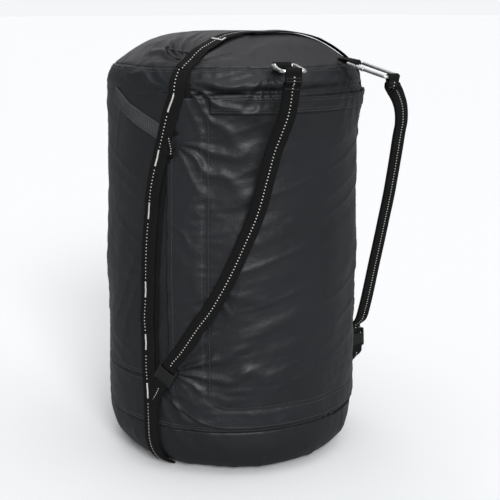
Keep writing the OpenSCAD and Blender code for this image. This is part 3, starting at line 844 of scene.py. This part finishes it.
def pocket_row(inset, off=0.2):
    """Down one side of the pocket, round the foot and up the other side."""
    half, low, r = POCKET_HALF - inset, POCKET_Z0 + inset, max(POCKET_CORNER - inset, 6)
    arc = np.radians(np.linspace(0, 90, 16))
    right = [(half, z) for z in np.arange(438, low + r, -4)]
    right += [(half - r + r * math.cos(c), low + r - r * math.sin(c)) for c in arc]
    left = [(-x, z) for x, z in right[::-1]]
    middle = [(x, low) for x in np.arange(half - r - 4, -half + r + 3, -4)]
    line = even(np.array(right + middle + left), 2.5)
    return stitch_row(*on_pocket(line[:, 0], line[:, 1], off))


def hem_row(z, off=1.2):
    x = np.linspace(-116, 116, 120)
    return stitch_row(*on_pocket(x, np.full_like(x, z), off))


rows = [level_row(v) for v in (V_SEAM - 3.4, V_SEAM - 6.6, BASE_SEAM + 3, BASE_SEAM + 6.2)]
rows += [level_row(v, 67, 293) for v in (BAND_SEAM + 3, BAND_SEAM + 6.4, BAND_SEAM - 4)]
rows += [pocket_row(STITCH_IN - 2.6), pocket_row(STITCH_IN + 2.6), pocket_row(3.0)]
rows += [hem_row(445.6), hem_row(448.6), hem_row(458)]
joined_piece("seam_stitches", rows, THREAD_DARK, "bag")

# ---------------------------------------------------------------- webbing sewn to the bag

WEB_W, STRAP_W, WEB_T = 20.0, 18.0, 1.4
BACKING_OFF, CHAIN_OFF = 1.5, 3.4
# Azimuth and height of each bar tack, and the line of both layers, on the right-hand side
TACKS = [(76, 104), (76.5, 165), (76, 231), (74.3, 327), (70, 390), (63.2, 453)]
FACE = WEB_T * 0.56        # where stitches lie, up from the middle of the webbing
DAISY_LINE = [(76, 4), (76, 48), (76, 100), (76.5, 160), (76.5, 195), (76, 230), (75.5, 265),
              (75, 300), (74.2, 330), (72.5, 360), (70, 390), (67, 418), (64, 446), (61.6, 462),
              (60.8, 476), (60, 490)]
MM_PER_DEG = math.pi * BODY_R / 180
# The small tab's line from the chain: inwards, up and out
TAB_ROUTE = [(4, 12, -1.2), (8, 7, 0.2), (11, 1, 2.2), (12.5, -5, 2.6), (11, -11, 1.6), (7, -15, -0.4)]


def v_at(z):
    """Length of cloth up to height z."""
    return np.interp(z, outline[1:, 1], outline_v[1:])


def highest(a, v, spread):
    """The cloth's highest point across a strap, half of whose width is spread degrees."""
    return np.max([soft(a + k * spread, v) for k in (-1, -0.5, 0, 0.5, 1)], axis=0)


def averaged(h, reach):
    n = 2 * reach + 1
    return np.convolve(np.pad(h, reach, "edge"), np.ones(n) / n, "valid")


def on_cloth(a, v, off, half=9.0, reach=3):
    """A line off the cloth that clears it across a strap's whole width."""
    high = averaged(highest(a, v, half / MM_PER_DEG), reach)
    r, z, nr, nz = profile(v)
    h = high + off
    tilt = lean(a, v) * calm(a, v) * smooth01(r, 20, 110)
    return polar(r + nr * h + tilt, a, z + nz * h)


def lift_off(points, across, lateral, height):
    """A line beside the middle of a strap and above its face."""
    _, side, out = strap_frames(points, across)
    return points + lateral * side + height * out, side, out


def tracer(points, across, lateral=0.0, pitch=3.2, length=1.35, width=1.8, skip=()):
    line, side, out = lift_off(points, across, lateral, FACE)
    return dashes(line, side, out, pitch, length, width, 0.35, skip)


def bar_tack(points, across, lateral, at, length=21.0, width=2.6):
    """Dense cross stitches along a strap, centred on its point number at."""
    line, side, out = lift_off(points, across, lateral, FACE)
    s = along(line)
    near = np.abs(s - s[at]) <= length / 2 + 1
    return dashes(line[near], side[near], out[near], 1.1, 1.35, width, 0.7)


def daisy_chain(side):
    """Backing layer and looped layer of one daisy chain, with its tracer and bar tacks."""
    name = "left" if side < 0 else "right"
    base = even(smooth_line(np.array([(a * MM_PER_DEG, v_at(z)) for a, z in DAISY_LINE]), 2.0), 2.0)
    a, v = base[:, 0] / MM_PER_DEG, base[:, 1]
    shift = np.interp(v, [0, 60, 200, 300, 390, 425, 465, 500], [0, 1.5, 3.0, 4.5, 6.0, 8.5, 6, 0])
    a_back = side * (a - shift / MM_PER_DEG)
    tack_v = [v_at(z) for _, z in TACKS]
    loop = np.zeros_like(v)
    for v0, v1 in zip(tack_v, tack_v[1:]):
        inside = (v > v0) & (v < v1)
        loop[inside] = np.sin((v[inside] - v0) / (v1 - v0) * math.pi) ** 0.8
    layers = []
    for angle, off in ((a_back, BACKING_OFF), (side * a, CHAIN_OFF + 1.6 * loop)):
        points = on_cloth(angle, v, off)
        across = -np.stack([np.cos(np.radians(angle)), np.sin(np.radians(angle)), 0 * angle], 1)
        layers.append((points, across))
    for node, layer in zip(("daisy_backing_" + name, "daisy_chain_" + name), layers):
        strap(node + "_web", *layer, WEB_W, WEB_T, "bag", node)
    points, across = layers[1]
    lateral = -3.0 * side
    centres = [int(np.argmin(np.abs(v - t))) for t in tack_v]
    s = along(points)
    tacks = [bar_tack(points, across, lateral, k) for k in centres]
    bare = [(s[k] - 13, s[k] + 13) for k in centres]
    tacks.append(tracer(points, across, lateral, 4.1, skip=bare))
    light = joined_piece("daisy_tracer_" + name, tacks, THREAD, "bag")
    # a short gathered tab sewn under the chain's inner edge
    k = int(np.argmin(np.abs(v - 408)))
    up, inward = np.array([0, 0, 1.0]), side * unit(across[k])
    out = unit(np.cross(strap_frames(points, across)[0][k], across[k]))
    route = [points[k] + inward * x + up * z + out * y for x, z, y in TAB_ROUTE]
    tab = even(smooth_line(route, 1.0), 1.0)
    tab_across = np.tile(unit(inward * 0.75 + up * 0.55 + out * 0.3), (len(tab), 1)) * -side
    strap("daisy_tab_" + name, tab, tab_across, 9.0, 1.2, "bag")
    dots = tracer(tab[6:-6], tab_across[6:-6], 1.0, 3.0)
    make_piece("daisy_tab_dots_" + name, *dots, THREAD, "bag")
    return light


light_left = daisy_chain(-1)
daisy_chain(1)
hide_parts("bar_tacks")

# ---------------------------------------------------------------- carrying strap

CARRY_HALF = [(-132.6, -76.6, 492.6), (-129, -76.6, 496.2), (-122.6, -76.6, 500.6),
              (-114, -76.4, 506.4), (-103, -75.6, 512.8), (-90, -74, 519), (-73.5, -71.6, 525.6),
              (-54, -70, 530.2), (-28, -70, 532.8), (0, -71, 533.4)]


def carry_strap():
    half = np.array(CARRY_HALF)
    line = smooth_line(np.vstack([half, (half * [-1, 1, 1])[-2::-1]]), 2.0)
    a, r = np.degrees(np.arctan2(line[:, 0], -line[:, 1])), np.hypot(line[:, 0], line[:, 1])
    shoulder = len(base_line) + len(corner_line)
    v = np.interp(-r, -outline[shoulder:, 0], outline_v[shoulder:])
    _, _, nr, nz = profile(v)
    rise = averaged(np.maximum(highest(a, v, 9 / np.maximum(r, 40) * 57.3) - 0.6, -2.0), 4)
    ripple = 0.5 * np.sin(line[:, 0] / 13.0) * bump(line[:, 0], 0, 110)
    line = line + polar(nr, a, nz) * (rise + ripple + 0.3)[:, None]
    across = np.stack([line[:, 0] / 280, np.full(len(line), 0.9), np.full(len(line), 0.06)], 1)
    strap("carry_strap_web", line, across, WEB_W, WEB_T, "bag", "carry_strap")
    parts = [tracer(line, across, 0.5, 3.6)]
    for x, way in ((-79, 1), (79, -1)):
        k = int(np.argmin(np.abs(line[:, 0] - x)))
        t, side, out = (q[k] for q in strap_frames(line, across))
        top = line[k] + out * FACE
        for u in np.arange(-7.6, 7.7, 1.15):
            parts.append(dash(top + side * u, t, side, out, 2.5, 1.4, 0.8))
        for u in np.arange(1.1, 6.0, 1.15):
            parts.append(dash(top - side * 7.6 + t * u * way, t, side, out, 1.4, 2.5, 0.8))
    joined_piece("carry_strap_stitching", parts, THREAD, "bag", "carry_strap_tacks")


carry_strap()

# ---------------------------------------------------------------- the slanting strip

STRIP_HALF, STRIP_LEN = 9.5, 95.0
STRIP_START = (-101 * MM_PER_DEG, 461)
STRIP_COS, STRIP_SIN = 0.898, 0.439


def on_strip(u, w):
    """Place round the bag and height, u along the strip and w across it."""
    x0, v0 = STRIP_START
    return x0 + u * STRIP_COS + w * STRIP_SIN, v0 - u * STRIP_SIN + w * STRIP_COS


def label_strip():
    u, w = np.meshgrid(np.linspace(0, STRIP_LEN, 191), np.linspace(-STRIP_HALF, STRIP_HALF, 27))
    x, v = on_strip(u, w)
    ribs = 0.6 * np.cos(2 * math.pi * (x + 0.12 * v) / 2.9) * (1 - smooth01(np.abs(w), 5.6, 6.8))
    groove = -0.4 * np.exp(-((np.abs(w) - 7.8) / 0.6) ** 2)
    rim = -0.8 * smooth01(np.abs(w), 8.9, STRIP_HALF)
    points, _ = skin(x / MM_PER_DEG, v, 1.5, ribs + groove + rim)
    sheet_piece("shoulder_strip_cloth", points, STRIP_FABRIC, "bag", 1.0, "shoulder_label_strip")
    parts = []
    for edge in (-7.8, 7.8):
        x, v = on_strip(np.linspace(1, STRIP_LEN - 1, 70), edge)
        parts.append(stitch_row(*skin(x / MM_PER_DEG, v, 1.35), 2.6, 1.9, 0.6))
    joined_piece("shoulder_strip_stitches", parts, THREAD_GREY, "bag")


label_strip()

# ---------------------------------------------------------------- hooks and their anchors

# Azimuth, way it faces, droop and height of each hook; place, way it faces and roll of each lock
HOOKS = {"left": (-18.3, -30.0, 3.0, 498.0), "right": (21.0, 5.0, 13.0, 497.0)}
HOOK_BAR_R, HOOK_LEN, ROD_R, HOOK_HALF = 168.0, 60.0, 2.0, 13.0
LOCKS = {"left": ((-157.0, -60.5, 121.0), -69.0, -30.0),
         "right": ((163.0, -66.0, 104.0), -8.0, 3.0)}
BAR_R = 1.6
ANCHOR_W, ANCHOR_LEG = 18.2, 19.5
GATE_FROM, GATE_TO = 15.0, 27.0


def placed(origin, x, y):
    """Turns points of a hook's or a lock's own coordinates into the bag's."""
    axes = np.array([x, y, np.cross(x, y)], float)
    return lambda points: np.asarray(points, float) @ axes + np.asarray(origin, float)


def at_hook(azimuth, facing, droop, height):
    f, d = math.radians(facing), math.radians(droop)
    return placed(polar(HOOK_BAR_R, azimuth, height), (-math.cos(f), -math.sin(f), 0),
                  (math.sin(f) * math.cos(d), -math.cos(f) * math.cos(d), -math.sin(d)))


def at_lock(origin, facing, roll):
    f, r = math.radians(facing), math.radians(roll)
    return placed(origin, (math.cos(r) * math.cos(f), math.cos(r) * math.sin(f), math.sin(r)),
                  (-math.sin(r) * math.cos(f), -math.sin(r) * math.sin(f), math.cos(r)))


def fold(r, leg):
    """Webbing round a bar, as offsets along the strap and out of its face."""
    arc = [(r * math.sin(f), -r * math.cos(f)) for f in map(math.radians, range(-30, 211, 20))]
    return np.array([(-leg, -0.91), (-leg / 2, -0.62 * r), *arc, (-leg / 2, 0.62 * r), (-leg, 0.91)])


def hook_details(name):
    put = at_hook(*HOOKS[name])
    eye = fold(ROD_R + 0.5 + WEB_T / 2, ANCHOR_LEG)
    line = even(smooth_line(np.column_stack([0 * eye[:, 0], eye]), 0.8), 0.8)
    across = np.tile(put([1.0, 0, 0]) - put([0, 0, 0]), (len(line), 1))
    anchor = "hook_anchor_" + name
    strap(anchor + "_web", put(line), across, ANCHOR_W, WEB_T, "bag", anchor)
    # the gate's sleeve and its thumb nub on one rail
    y = np.arange(GATE_FROM, GATE_TO + 0.1, 0.35)
    grip = 2.55 + 0.22 * np.sign(np.sin(y * 4.2)) * bump(y, (GATE_FROM + GATE_TO) / 2, 5.5)
    ends = smooth01(y, GATE_FROM, GATE_FROM + 1) * (1 - smooth01(y, GATE_TO - 1, GATE_TO))
    grip *= 0.85 + 0.15 * ends
    sleeve = tube_part(np.stack([np.full_like(y, HOOK_HALF), y, 0 * y], 1), grip, 20)
    nub = np.array([(HOOK_HALF, 19.5, 1.6), (HOOK_HALF, 19.6, 2.8), (HOOK_HALF, 19.9, 3.9)])
    nub_part = tube_part(nub, np.array([1.5, 1.4, 0.9]), 12, (1, 0, 0))
    verts, faces, _ = join([sleeve, nub_part])
    make_piece("hook_gate_" + name, put(verts), faces, METAL, name + "_hook")


for hook_name in HOOKS:
    hook_details(hook_name)

# ---------------------------------------------------------------- shoulder straps

STRAP_ROUTES = {
    "left": [(-80.5, -207, 478), (-79, -202, 460), (-79, -197, 444), (-81, -189, 425),
             (-84, -181, 404), (-87, -173, 375), (-92, -162, 334), (-101, -149, 296),
             (-112, -135, 257), (-125, -118, 218), (-135, -104, 194), (-142, -91, 172),
             (-147, -82.5, 158)],
    "right": [(72, -211, 471), (85, -206, 461), (97, -201, 446), (106, -194, 428), (112, -185, 410),
              (121, -172, 382), (132, -153, 335), (140, -138, 302), (147, -122, 262),
              (152, -109, 228), (156, -97, 193), (160, -86, 165), (163, -76, 144)]}
STRAP_TURN = {"left": (-30, -69), "right": (5, -8)}
LOCK_TABS = {"left": [(-159.5, -51.5, 105), (-160, -46, 97), (-160.5, -41.5, 89)],
             "right": [(164.5, -64, 88), (165.5, -59, 82), (165, -51, 79), (162.5, -43, 78)]}
LOCK_LEN, LOCK_HALF = 24.0, 13.0
STRAP_PITCH = 3.9


def share_past(m, n):
    """0 at the first m of n points, then rising evenly to 1 at the last."""
    return np.maximum(np.arange(n) - m + 1, 0) / (n - m)


def shoulder_strap(name):
    hook, lock = at_hook(*HOOKS[name]), at_lock(*LOCKS[name])
    facing = math.radians(HOOKS[name][1])
    out = np.array([math.sin(facing), -math.cos(facing), 0])
    bar = hook([0, HOOK_LEN, 0])
    eye = [bar + u * np.array([0, 0, 1]) + w * out for u, w in fold(ROD_R + 0.4 + WEB_T / 2, 12)]
    end = lock([[0, LOCK_LEN + 6, 0], [0, LOCK_LEN + 0.8, 0]])
    control = np.vstack([eye, STRAP_ROUTES[name], end])
    share = share_past(len(eye), len(control))
    a = np.radians(STRAP_TURN[name][0] + (STRAP_TURN[name][1] - STRAP_TURN[name][0]) * share)
    across = np.stack([np.cos(a), np.sin(a), 0 * a], 1)
    across[-2:] = lock([1, 0, 0]) - lock([0, 0, 0])
    both = smooth_line(np.hstack([control, across]), 1.6)
    points, across = both[:, :3], both[:, 3:]
    t, side, outward = strap_frames(points, across)
    s = along(points)
    # a second layer lies behind the first, a little to one side
    under = (s > 34) & (s < s[-1] - 6)
    behind = points[under] - 1.5 * outward[under] - 2.0 * side[under]
    verts, faces, uv = join([strap_part(points, across, STRAP_W, WEB_T),
                             strap_part(behind, across[under], STRAP_W - 1, 1.2)])
    body = name + "_strap"
    node = "shoulder_strap_" + name
    make_piece(node + "_web", verts, faces, WEBBING, body, uv, node=node)
    dots = tracer(points[s > 26], across[s > 26], 0.6, STRAP_PITCH)
    make_piece("shoulder_strap_tracer_" + name, *dots, THREAD, body)
    # the stitches that close the eye
    parts = []
    for at in (30.0, 33.0, 44.0):
        k = int(np.argmin(np.abs(s - at)))
        for u in np.arange(-7.2, 7.3, 1.6):
            parts.append(dash(points[k] + side[k] * u + outward[k] * FACE, t[k], side[k],
                              outward[k], 0.8, 1.3, 0.3))
    joined_piece("shoulder_strap_stitches_" + name, parts, THREAD_DARK, body)


for strap_name in STRAP_ROUTES:
    shoulder_strap(strap_name)

# ---------------------------------------------------------------- ladder locks


def block(x0, x1, y0, y1, z0, z1):
    verts = [(x, y, z) for z in (z0, z1) for y in (y0, y1) for x in (x0, x1)]
    return verts, [[0, 2, 3, 1], [4, 5, 7, 6], [0, 1, 5, 4], [2, 6, 7, 3], [0, 4, 6, 2], [1, 3, 7, 5]]


def ladder_lock(name):
    put = at_lock(*LOCKS[name])
    body = name + "_lock"
    rails = [block(s * 11.7 - 1.4, s * 11.7 + 1.4, 0.5, LOCK_LEN - 0.6, -2.0, 2.0) for s in (-1, 1)]
    bars = [block(-11, 11, 8.0, 10.4, -1.9, 0.4), block(-11, 11, 18.2, LOCK_LEN, -2.0, -0.6)]
    lower = tube_part(np.array([(-12.9, 0, 0), (-12.5, 0, 0), (12.5, 0, 0), (12.9, 0, 0)]),
                      np.array([1.7, 2.0, 2.0, 1.7]), 16)
    verts, faces, _ = join(rails + bars + [lower])
    node = "ladder_lock_" + name
    lattice = make_piece(node + "_frame", put(verts), faces, PLASTIC, body, smooth=False, node=node)
    add_modifier(lattice, "BEVEL", width=0.55 * MM, segments=3, limit_method="ANGLE", angle_limit=0.9)
    # the smooth face plate, with a lip at its upper edge
    u, w = np.meshgrid(np.linspace(-1, 1, 33), np.linspace(0, 1, 25))
    y = -2.2 + w * 19.6
    half = LOCK_HALF - 1.6 * (1 - smooth01(w, 0, 0.16)) - 1.2 * smooth01(w, 0.86, 1) * (u ** 4)
    x = u * half
    z = 2.0 + 1.2 * (1 - u ** 2) * bump(w, 0.5, 0.75) + 0.5 * bump(w, 0.96, 0.1) - 1.3 * np.abs(u) ** 7
    z = z - 1.4 * (1 - smooth01(w, 0, 0.12))
    plate = sheet_piece(node + "_face", put(np.stack([x, y, z], -1)), PLASTIC, body, 1.1, node)
    add_modifier(plate, "BEVEL", width=0.3 * MM, segments=2, limit_method="ANGLE", angle_limit=0.9)
    # the strap goes over the upper bar, through the slot and ends behind the lock
    tail = np.array([(0, 24.9, 0.1), (0, 22.5, 0.5), (0, 19.5, 0.5), (0, 17.2, -0.3), (0, 15, -2.3),
                     (0, 12.5, -3.2), (0, 9, -3.3), (0, 5, -3.0)])
    line = put(even(smooth_line(tail, 0.8), 0.8))
    wide = np.tile(put([1.0, 0, 0]) - put([0, 0, 0]), (len(line), 1))
    strap("strap_tail_" + name + "_web", line, wide, STRAP_W - 0.6, WEB_T, body, "strap_tail_" + name)
    # the tab that holds the lock's lower bar
    eye = [put([0, u, w]) for u, w in fold(BAR_R + 0.4 + WEB_T / 2, 9)]
    control = np.vstack([eye, LOCK_TABS[name]])
    share = share_past(len(eye), len(control))[:, None]
    facing = math.radians(-76 if name == "left" else 76)
    across = wide[0] * (1 - share) + np.array([math.cos(facing), math.sin(facing), 0]) * share
    both = smooth_line(np.hstack([control, across]), 0.9)
    anchor = "lock_anchor_" + name
    strap(anchor + "_web", both[:, :3], both[:, 3:], STRAP_W, WEB_T, "bag", anchor)
    dots = tracer(both[30:, :3], both[30:, 3:], 0.6, STRAP_PITCH)
    make_piece("lock_anchor_tracer_" + name, *dots, THREAD, "bag")


for lock_name in LOCKS:
    ladder_lock(lock_name)

# ---------------------------------------------------------------- the zipped lid at the front

HINGE_Z = 290


def at_front(x, z, off=0.0):
    """Points over the lid side of the wall, with their outward directions."""
    x, z, off = np.broadcast_arrays(*(np.asarray(q, float) for q in (x, z, off)))
    a = front_azimuth(x)
    return polar(BODY_R + off, a, z), polar(1.0, a, 0.0)


def lid_path(grow, start=6.0):
    """The lid's outline, grown, from the hinge along the lower edge and round to the top."""
    r, x1 = LID_CORNER + grow, LID_X1 + grow
    z0, z1 = LID_Z0 - grow, LID_Z1 + grow
    arc = np.radians(np.linspace(0, 90, 14))
    points = [(LID_X0 + start, z0)]
    points += [(x1 - r + r * math.sin(c), z0 + r - r * math.cos(c)) for c in arc]
    points += [(x1 - r + r * math.cos(c), z1 - r + r * math.sin(c)) for c in arc]
    return even(np.array(points + [(LID_X0 + start, z1)]), 2.0)


def lid_off(x, z):
    """How far the lid's cloth stands out."""
    inset = -hole_distance(x, z, 0.0)
    a = front_azimuth(x)
    h = 1.4 * smooth01(inset, 4, 40) + 0.5 * bump(inset, 3, 4)
    h += smooth01(inset, 4, 30) * (1.5 * ring_noise(a, z, 90, 120, 61)
                                   + 1.6 * (crease(stretched(a, z, 58, 19, 130, 62), 2.5) - 0.35)
                                   + 1.1 * (crease(stretched(a, z, -30, 17, 90, 63), 2.8) - 0.33))
    return h + 0.5 * (crease(ring_noise(a, z, 13, 13, 64), 2.2) - 0.4) + 0.4


def lid_cloth():
    reach = ROW_STEP * 0.75
    x, z = np.meshgrid(np.linspace(LID_X0 + 0.3, LID_X1, 89), np.linspace(LID_Z0, LID_Z1, 121))
    d = hole_distance(x, z, 0.0)
    x, z = snapped(x, z, d, 0.0, (np.abs(d) < reach) & (x > LID_X0 + 4))
    points = at_front(x, z, lid_off(x, z))[0].reshape(-1, 3)
    cloth = trimmed(points, grid_faces(*x.shape)[:, ::-1], d <= reach)
    make_piece("lid_cloth", *cloth, FABRIC, "lid", thick=CLOTH_T, node="lid_panel")


def hinge_cloth():
    """The strip of cloth where the lid joins the wall."""
    x, z = np.meshgrid(np.linspace(LID_X0 - 8, LID_X0 + 8, 17),
                       np.linspace(LID_Z0 - 1, LID_Z1 + 1, 120))
    roll = 0.9 + 0.5 * bump(x, LID_X0, 5) - 0.5 * bump(np.abs(x - LID_X0), 8, 1.5)
    roll = roll + lid_off(np.maximum(x, LID_X0), z) * smooth01(x, LID_X0, LID_X0 + 8)
    obj = sheet_piece("lid_hinge_cloth", at_front(x, z, roll)[0], FABRIC, None, 0.7, flip=True)
    tuple(at_front(LID_X0 - 4, HINGE_Z)[0] * MM)
    tuple(at_front(LID_X0 + 4, HINGE_Z)[0] * MM)
    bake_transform(obj)


def teeth(grow, name, body):
    line = lid_path(grow)
    points, out = at_front(line[:, 0], line[:, 1], 0.75)
    part = dashes(points, np.cross(out, tangents(points)), out, 1.5, 1.05, 2.0, 0.55)
    make_piece(name, *part, COIL, body)


def lid_stitches(grow, off, name, body):
    line = lid_path(grow, 10.0)
    rise = lid_off(line[:, 0], line[:, 1]) if body == "lid" else 0.0
    points, out = at_front(line[:, 0], line[:, 1], off + rise)
    make_piece(name, *stitch_row(points, out), THREAD_DARK, body)


lid_cloth()
hinge_cloth()
teeth(ZIP_W / 2 - 1.1, "lid_zip_teeth", "lid")
teeth(ZIP_W / 2 + 1.1, "wall_zip_teeth", "bag")
lid_stitches(-3.0, 0.1, "lid_edge_stitches", "lid")
lid_stitches(ZIP_W + 3.0, 0.25, "wall_opening_stitches", "bag")

# ---------------------------------------------------------------- zip slider and pull

SLIDER_AZ, SLIDER_Z, SLIDER_R, BAR_LIFT = 214.0, 140.5, 160.9, 4.0
GRIP_MID, GRIP_HALF = -33, 9
a_slider = math.radians(SLIDER_AZ)
at_slider = placed(polar(SLIDER_R, SLIDER_AZ, SLIDER_Z),
                   (math.cos(a_slider), math.sin(a_slider), 0), (0, 0, 1))


def zip_slider():
    u, w = np.meshgrid(np.linspace(-1, 1, 21), np.linspace(-1, 1, 15))
    waist = 4.2 - 0.9 * (1 - u ** 2)
    x, y = u * 6.5, w * waist
    z = 1.7 - 0.7 * np.abs(w) ** 4 - 0.5 * np.abs(u) ** 6
    sheet_piece("zip_slider_plate", at_slider(np.stack([x, y, z], -1)), ZIP_METAL, "slider", 1.3,
                "zip_slider")
    arch = np.array([(-4.9, 0, 1.2), (-4.9, 0, 2.6), (-4.4, 0, 3.7), (-3.4, 0, BAR_LIFT),
                     (3.4, 0, BAR_LIFT), (4.4, 0, 3.7), (4.9, 0, 2.6), (4.9, 0, 1.2)])
    verts, faces = tube_part(smooth_line(arch, 0.5), 0.85, 12, (0, 1, 0))
    make_piece("zip_slider_bridge", at_slider(verts), faces, ZIP_METAL, "slider", node="zip_slider")


def zip_pull():
    run = [(1.5, -20, 0), (1.5, -8, 0), (1.4, -2.0, 0.2), (0.9, 0.3, 1.5)]
    run = [(-x, y, z) for x, y, z in run] + [(0, 0.7, 1.42)] + run[::-1]
    cord_line = np.array([(x, y, BAR_LIFT + z) for x, y, z in run])
    verts, faces = tube_part(smooth_line(cord_line, 0.6), 0.62, 10)
    make_piece("zip_pull_cord", at_slider(verts), faces, CORD, "pull", node="zip_pull")
    y = np.linspace(GRIP_MID + GRIP_HALF, GRIP_MID - GRIP_HALF, 55)
    ridge = 0.25 * np.cos((y - GRIP_MID) * 2.1) * bump(y, GRIP_MID, 8)
    ends = np.sqrt(np.clip(1 - ((y - GRIP_MID) / (GRIP_HALF + 0.001)) ** 10, 0, 1))
    ang = np.arange(28) * 2 * math.pi / 28
    c, s = np.cos(ang), np.sin(ang)
    rx = (3.6 + ridge)[:, None] * (0.55 + 0.45 * ends[:, None])
    rz = (1.55 + ridge)[:, None] * (0.4 + 0.6 * ends[:, None])
    power = 0.62
    x = rx * np.sign(c) * np.abs(c) ** power
    z = rz * np.sign(s) * np.abs(s) ** power + BAR_LIFT
    verts = np.stack([x, np.broadcast_to(y[:, None], x.shape), z], -1).reshape(-1, 3)
    make_piece("zip_pull_grip", at_slider(verts), capped_faces(len(y), len(ang)), PLASTIC, "pull",
               node="zip_pull")


zip_slider()
zip_pull()

# ---------------------------------------------------------------- materials of the CAD nodes that stay

KEPT = {METAL: ["hook_left", "hook_right"], BINDING: ["base_seam_binding", "top_seam_binding"],
        ZIP_TAPE: ["wall_zip_tape", "lid_zip_tape", "zip_end_patches"],
        COIL: ["wall_zip_coil", "lid_zip_coil"]}
for material, names in KEPT.items():
    for node in names:
        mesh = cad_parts[node].data
        for i in range(len(mesh.materials)):
            mesh.materials[i] = material

# ---------------------------------------------------------------- floor and light


FLOOR_HALF = 60


def aim(obj, location, target):
    bpy.context.scene.collection.objects.link(obj)
    obj.location = location
    obj.rotation_euler = (Vector(target) - Vector(location)).to_track_quat("-Z", "Y").to_euler()


def sky_light(name, location, strength, spread):
    """Even light from one side of the sky."""
    data = bpy.data.lights.new(name, "SUN")
    data.energy, data.angle = strength, math.radians(spread)
    aim(bpy.data.objects.new(name, data), location, (0, 0, 0))


def pale_floor(seen, cast):
    """A wide plain floor: seen is its colour to the camera, cast the colour it throws back."""
    m = Nodes("floor_pale")
    to_camera = m.add("ShaderNodeLightPath").outputs["Is Camera Ray"]
    m.finish(m.mix(to_camera, cast, seen), 0.9, Specular_IOR_Level=0.1)
    mesh = bpy.data.meshes.new("floor")
    corners = [(x * FLOOR_HALF, y * FLOOR_HALF, 0) for x, y in ((-1, -1), (1, -1), (1, 1), (-1, 1))]
    mesh.from_pydata(corners, [], [(0, 1, 2, 3)])
    mesh.materials.append(m.mat)
    floor = bpy.data.objects.new("floor", mesh)
    bpy.context.scene.collection.objects.link(floor)


def studio_world(seen, cast):
    """A pale room: seen is how bright it looks, cast how much light it gives."""
    world = bpy.data.worlds.new("studio")
    world.use_nodes = True
    tree = world.node_tree
    back = tree.nodes["Background"]
    back.inputs["Color"].default_value = (0.965, 0.98, 1.0, 1)
    path = tree.nodes.new("ShaderNodeLightPath")
    level = tree.nodes.new("ShaderNodeMapRange")
    level.inputs["To Min"].default_value = cast
    level.inputs["To Max"].default_value = seen
    tree.links.new(path.outputs["Is Camera Ray"], level.inputs["Value"])
    tree.links.new(level.outputs["Result"], back.inputs["Strength"])
    bpy.context.scene.world = world


pale_floor(seen=(0.94, 0.95, 0.965), cast=(0.38, 0.385, 0.39))
studio_world(seen=0.94, cast=0.22)
sky_light("sky_above", (0.1, -0.6, 3.2), 1.3, 75)
sky_light("key_front", (-0.6, -1.2, 0.7), 2.5, 24)
sky_light("back_fill", (0.7, 1.6, 1.1), 0.3, 40)
bpy.context.scene.view_settings.view_transform = "Standard"
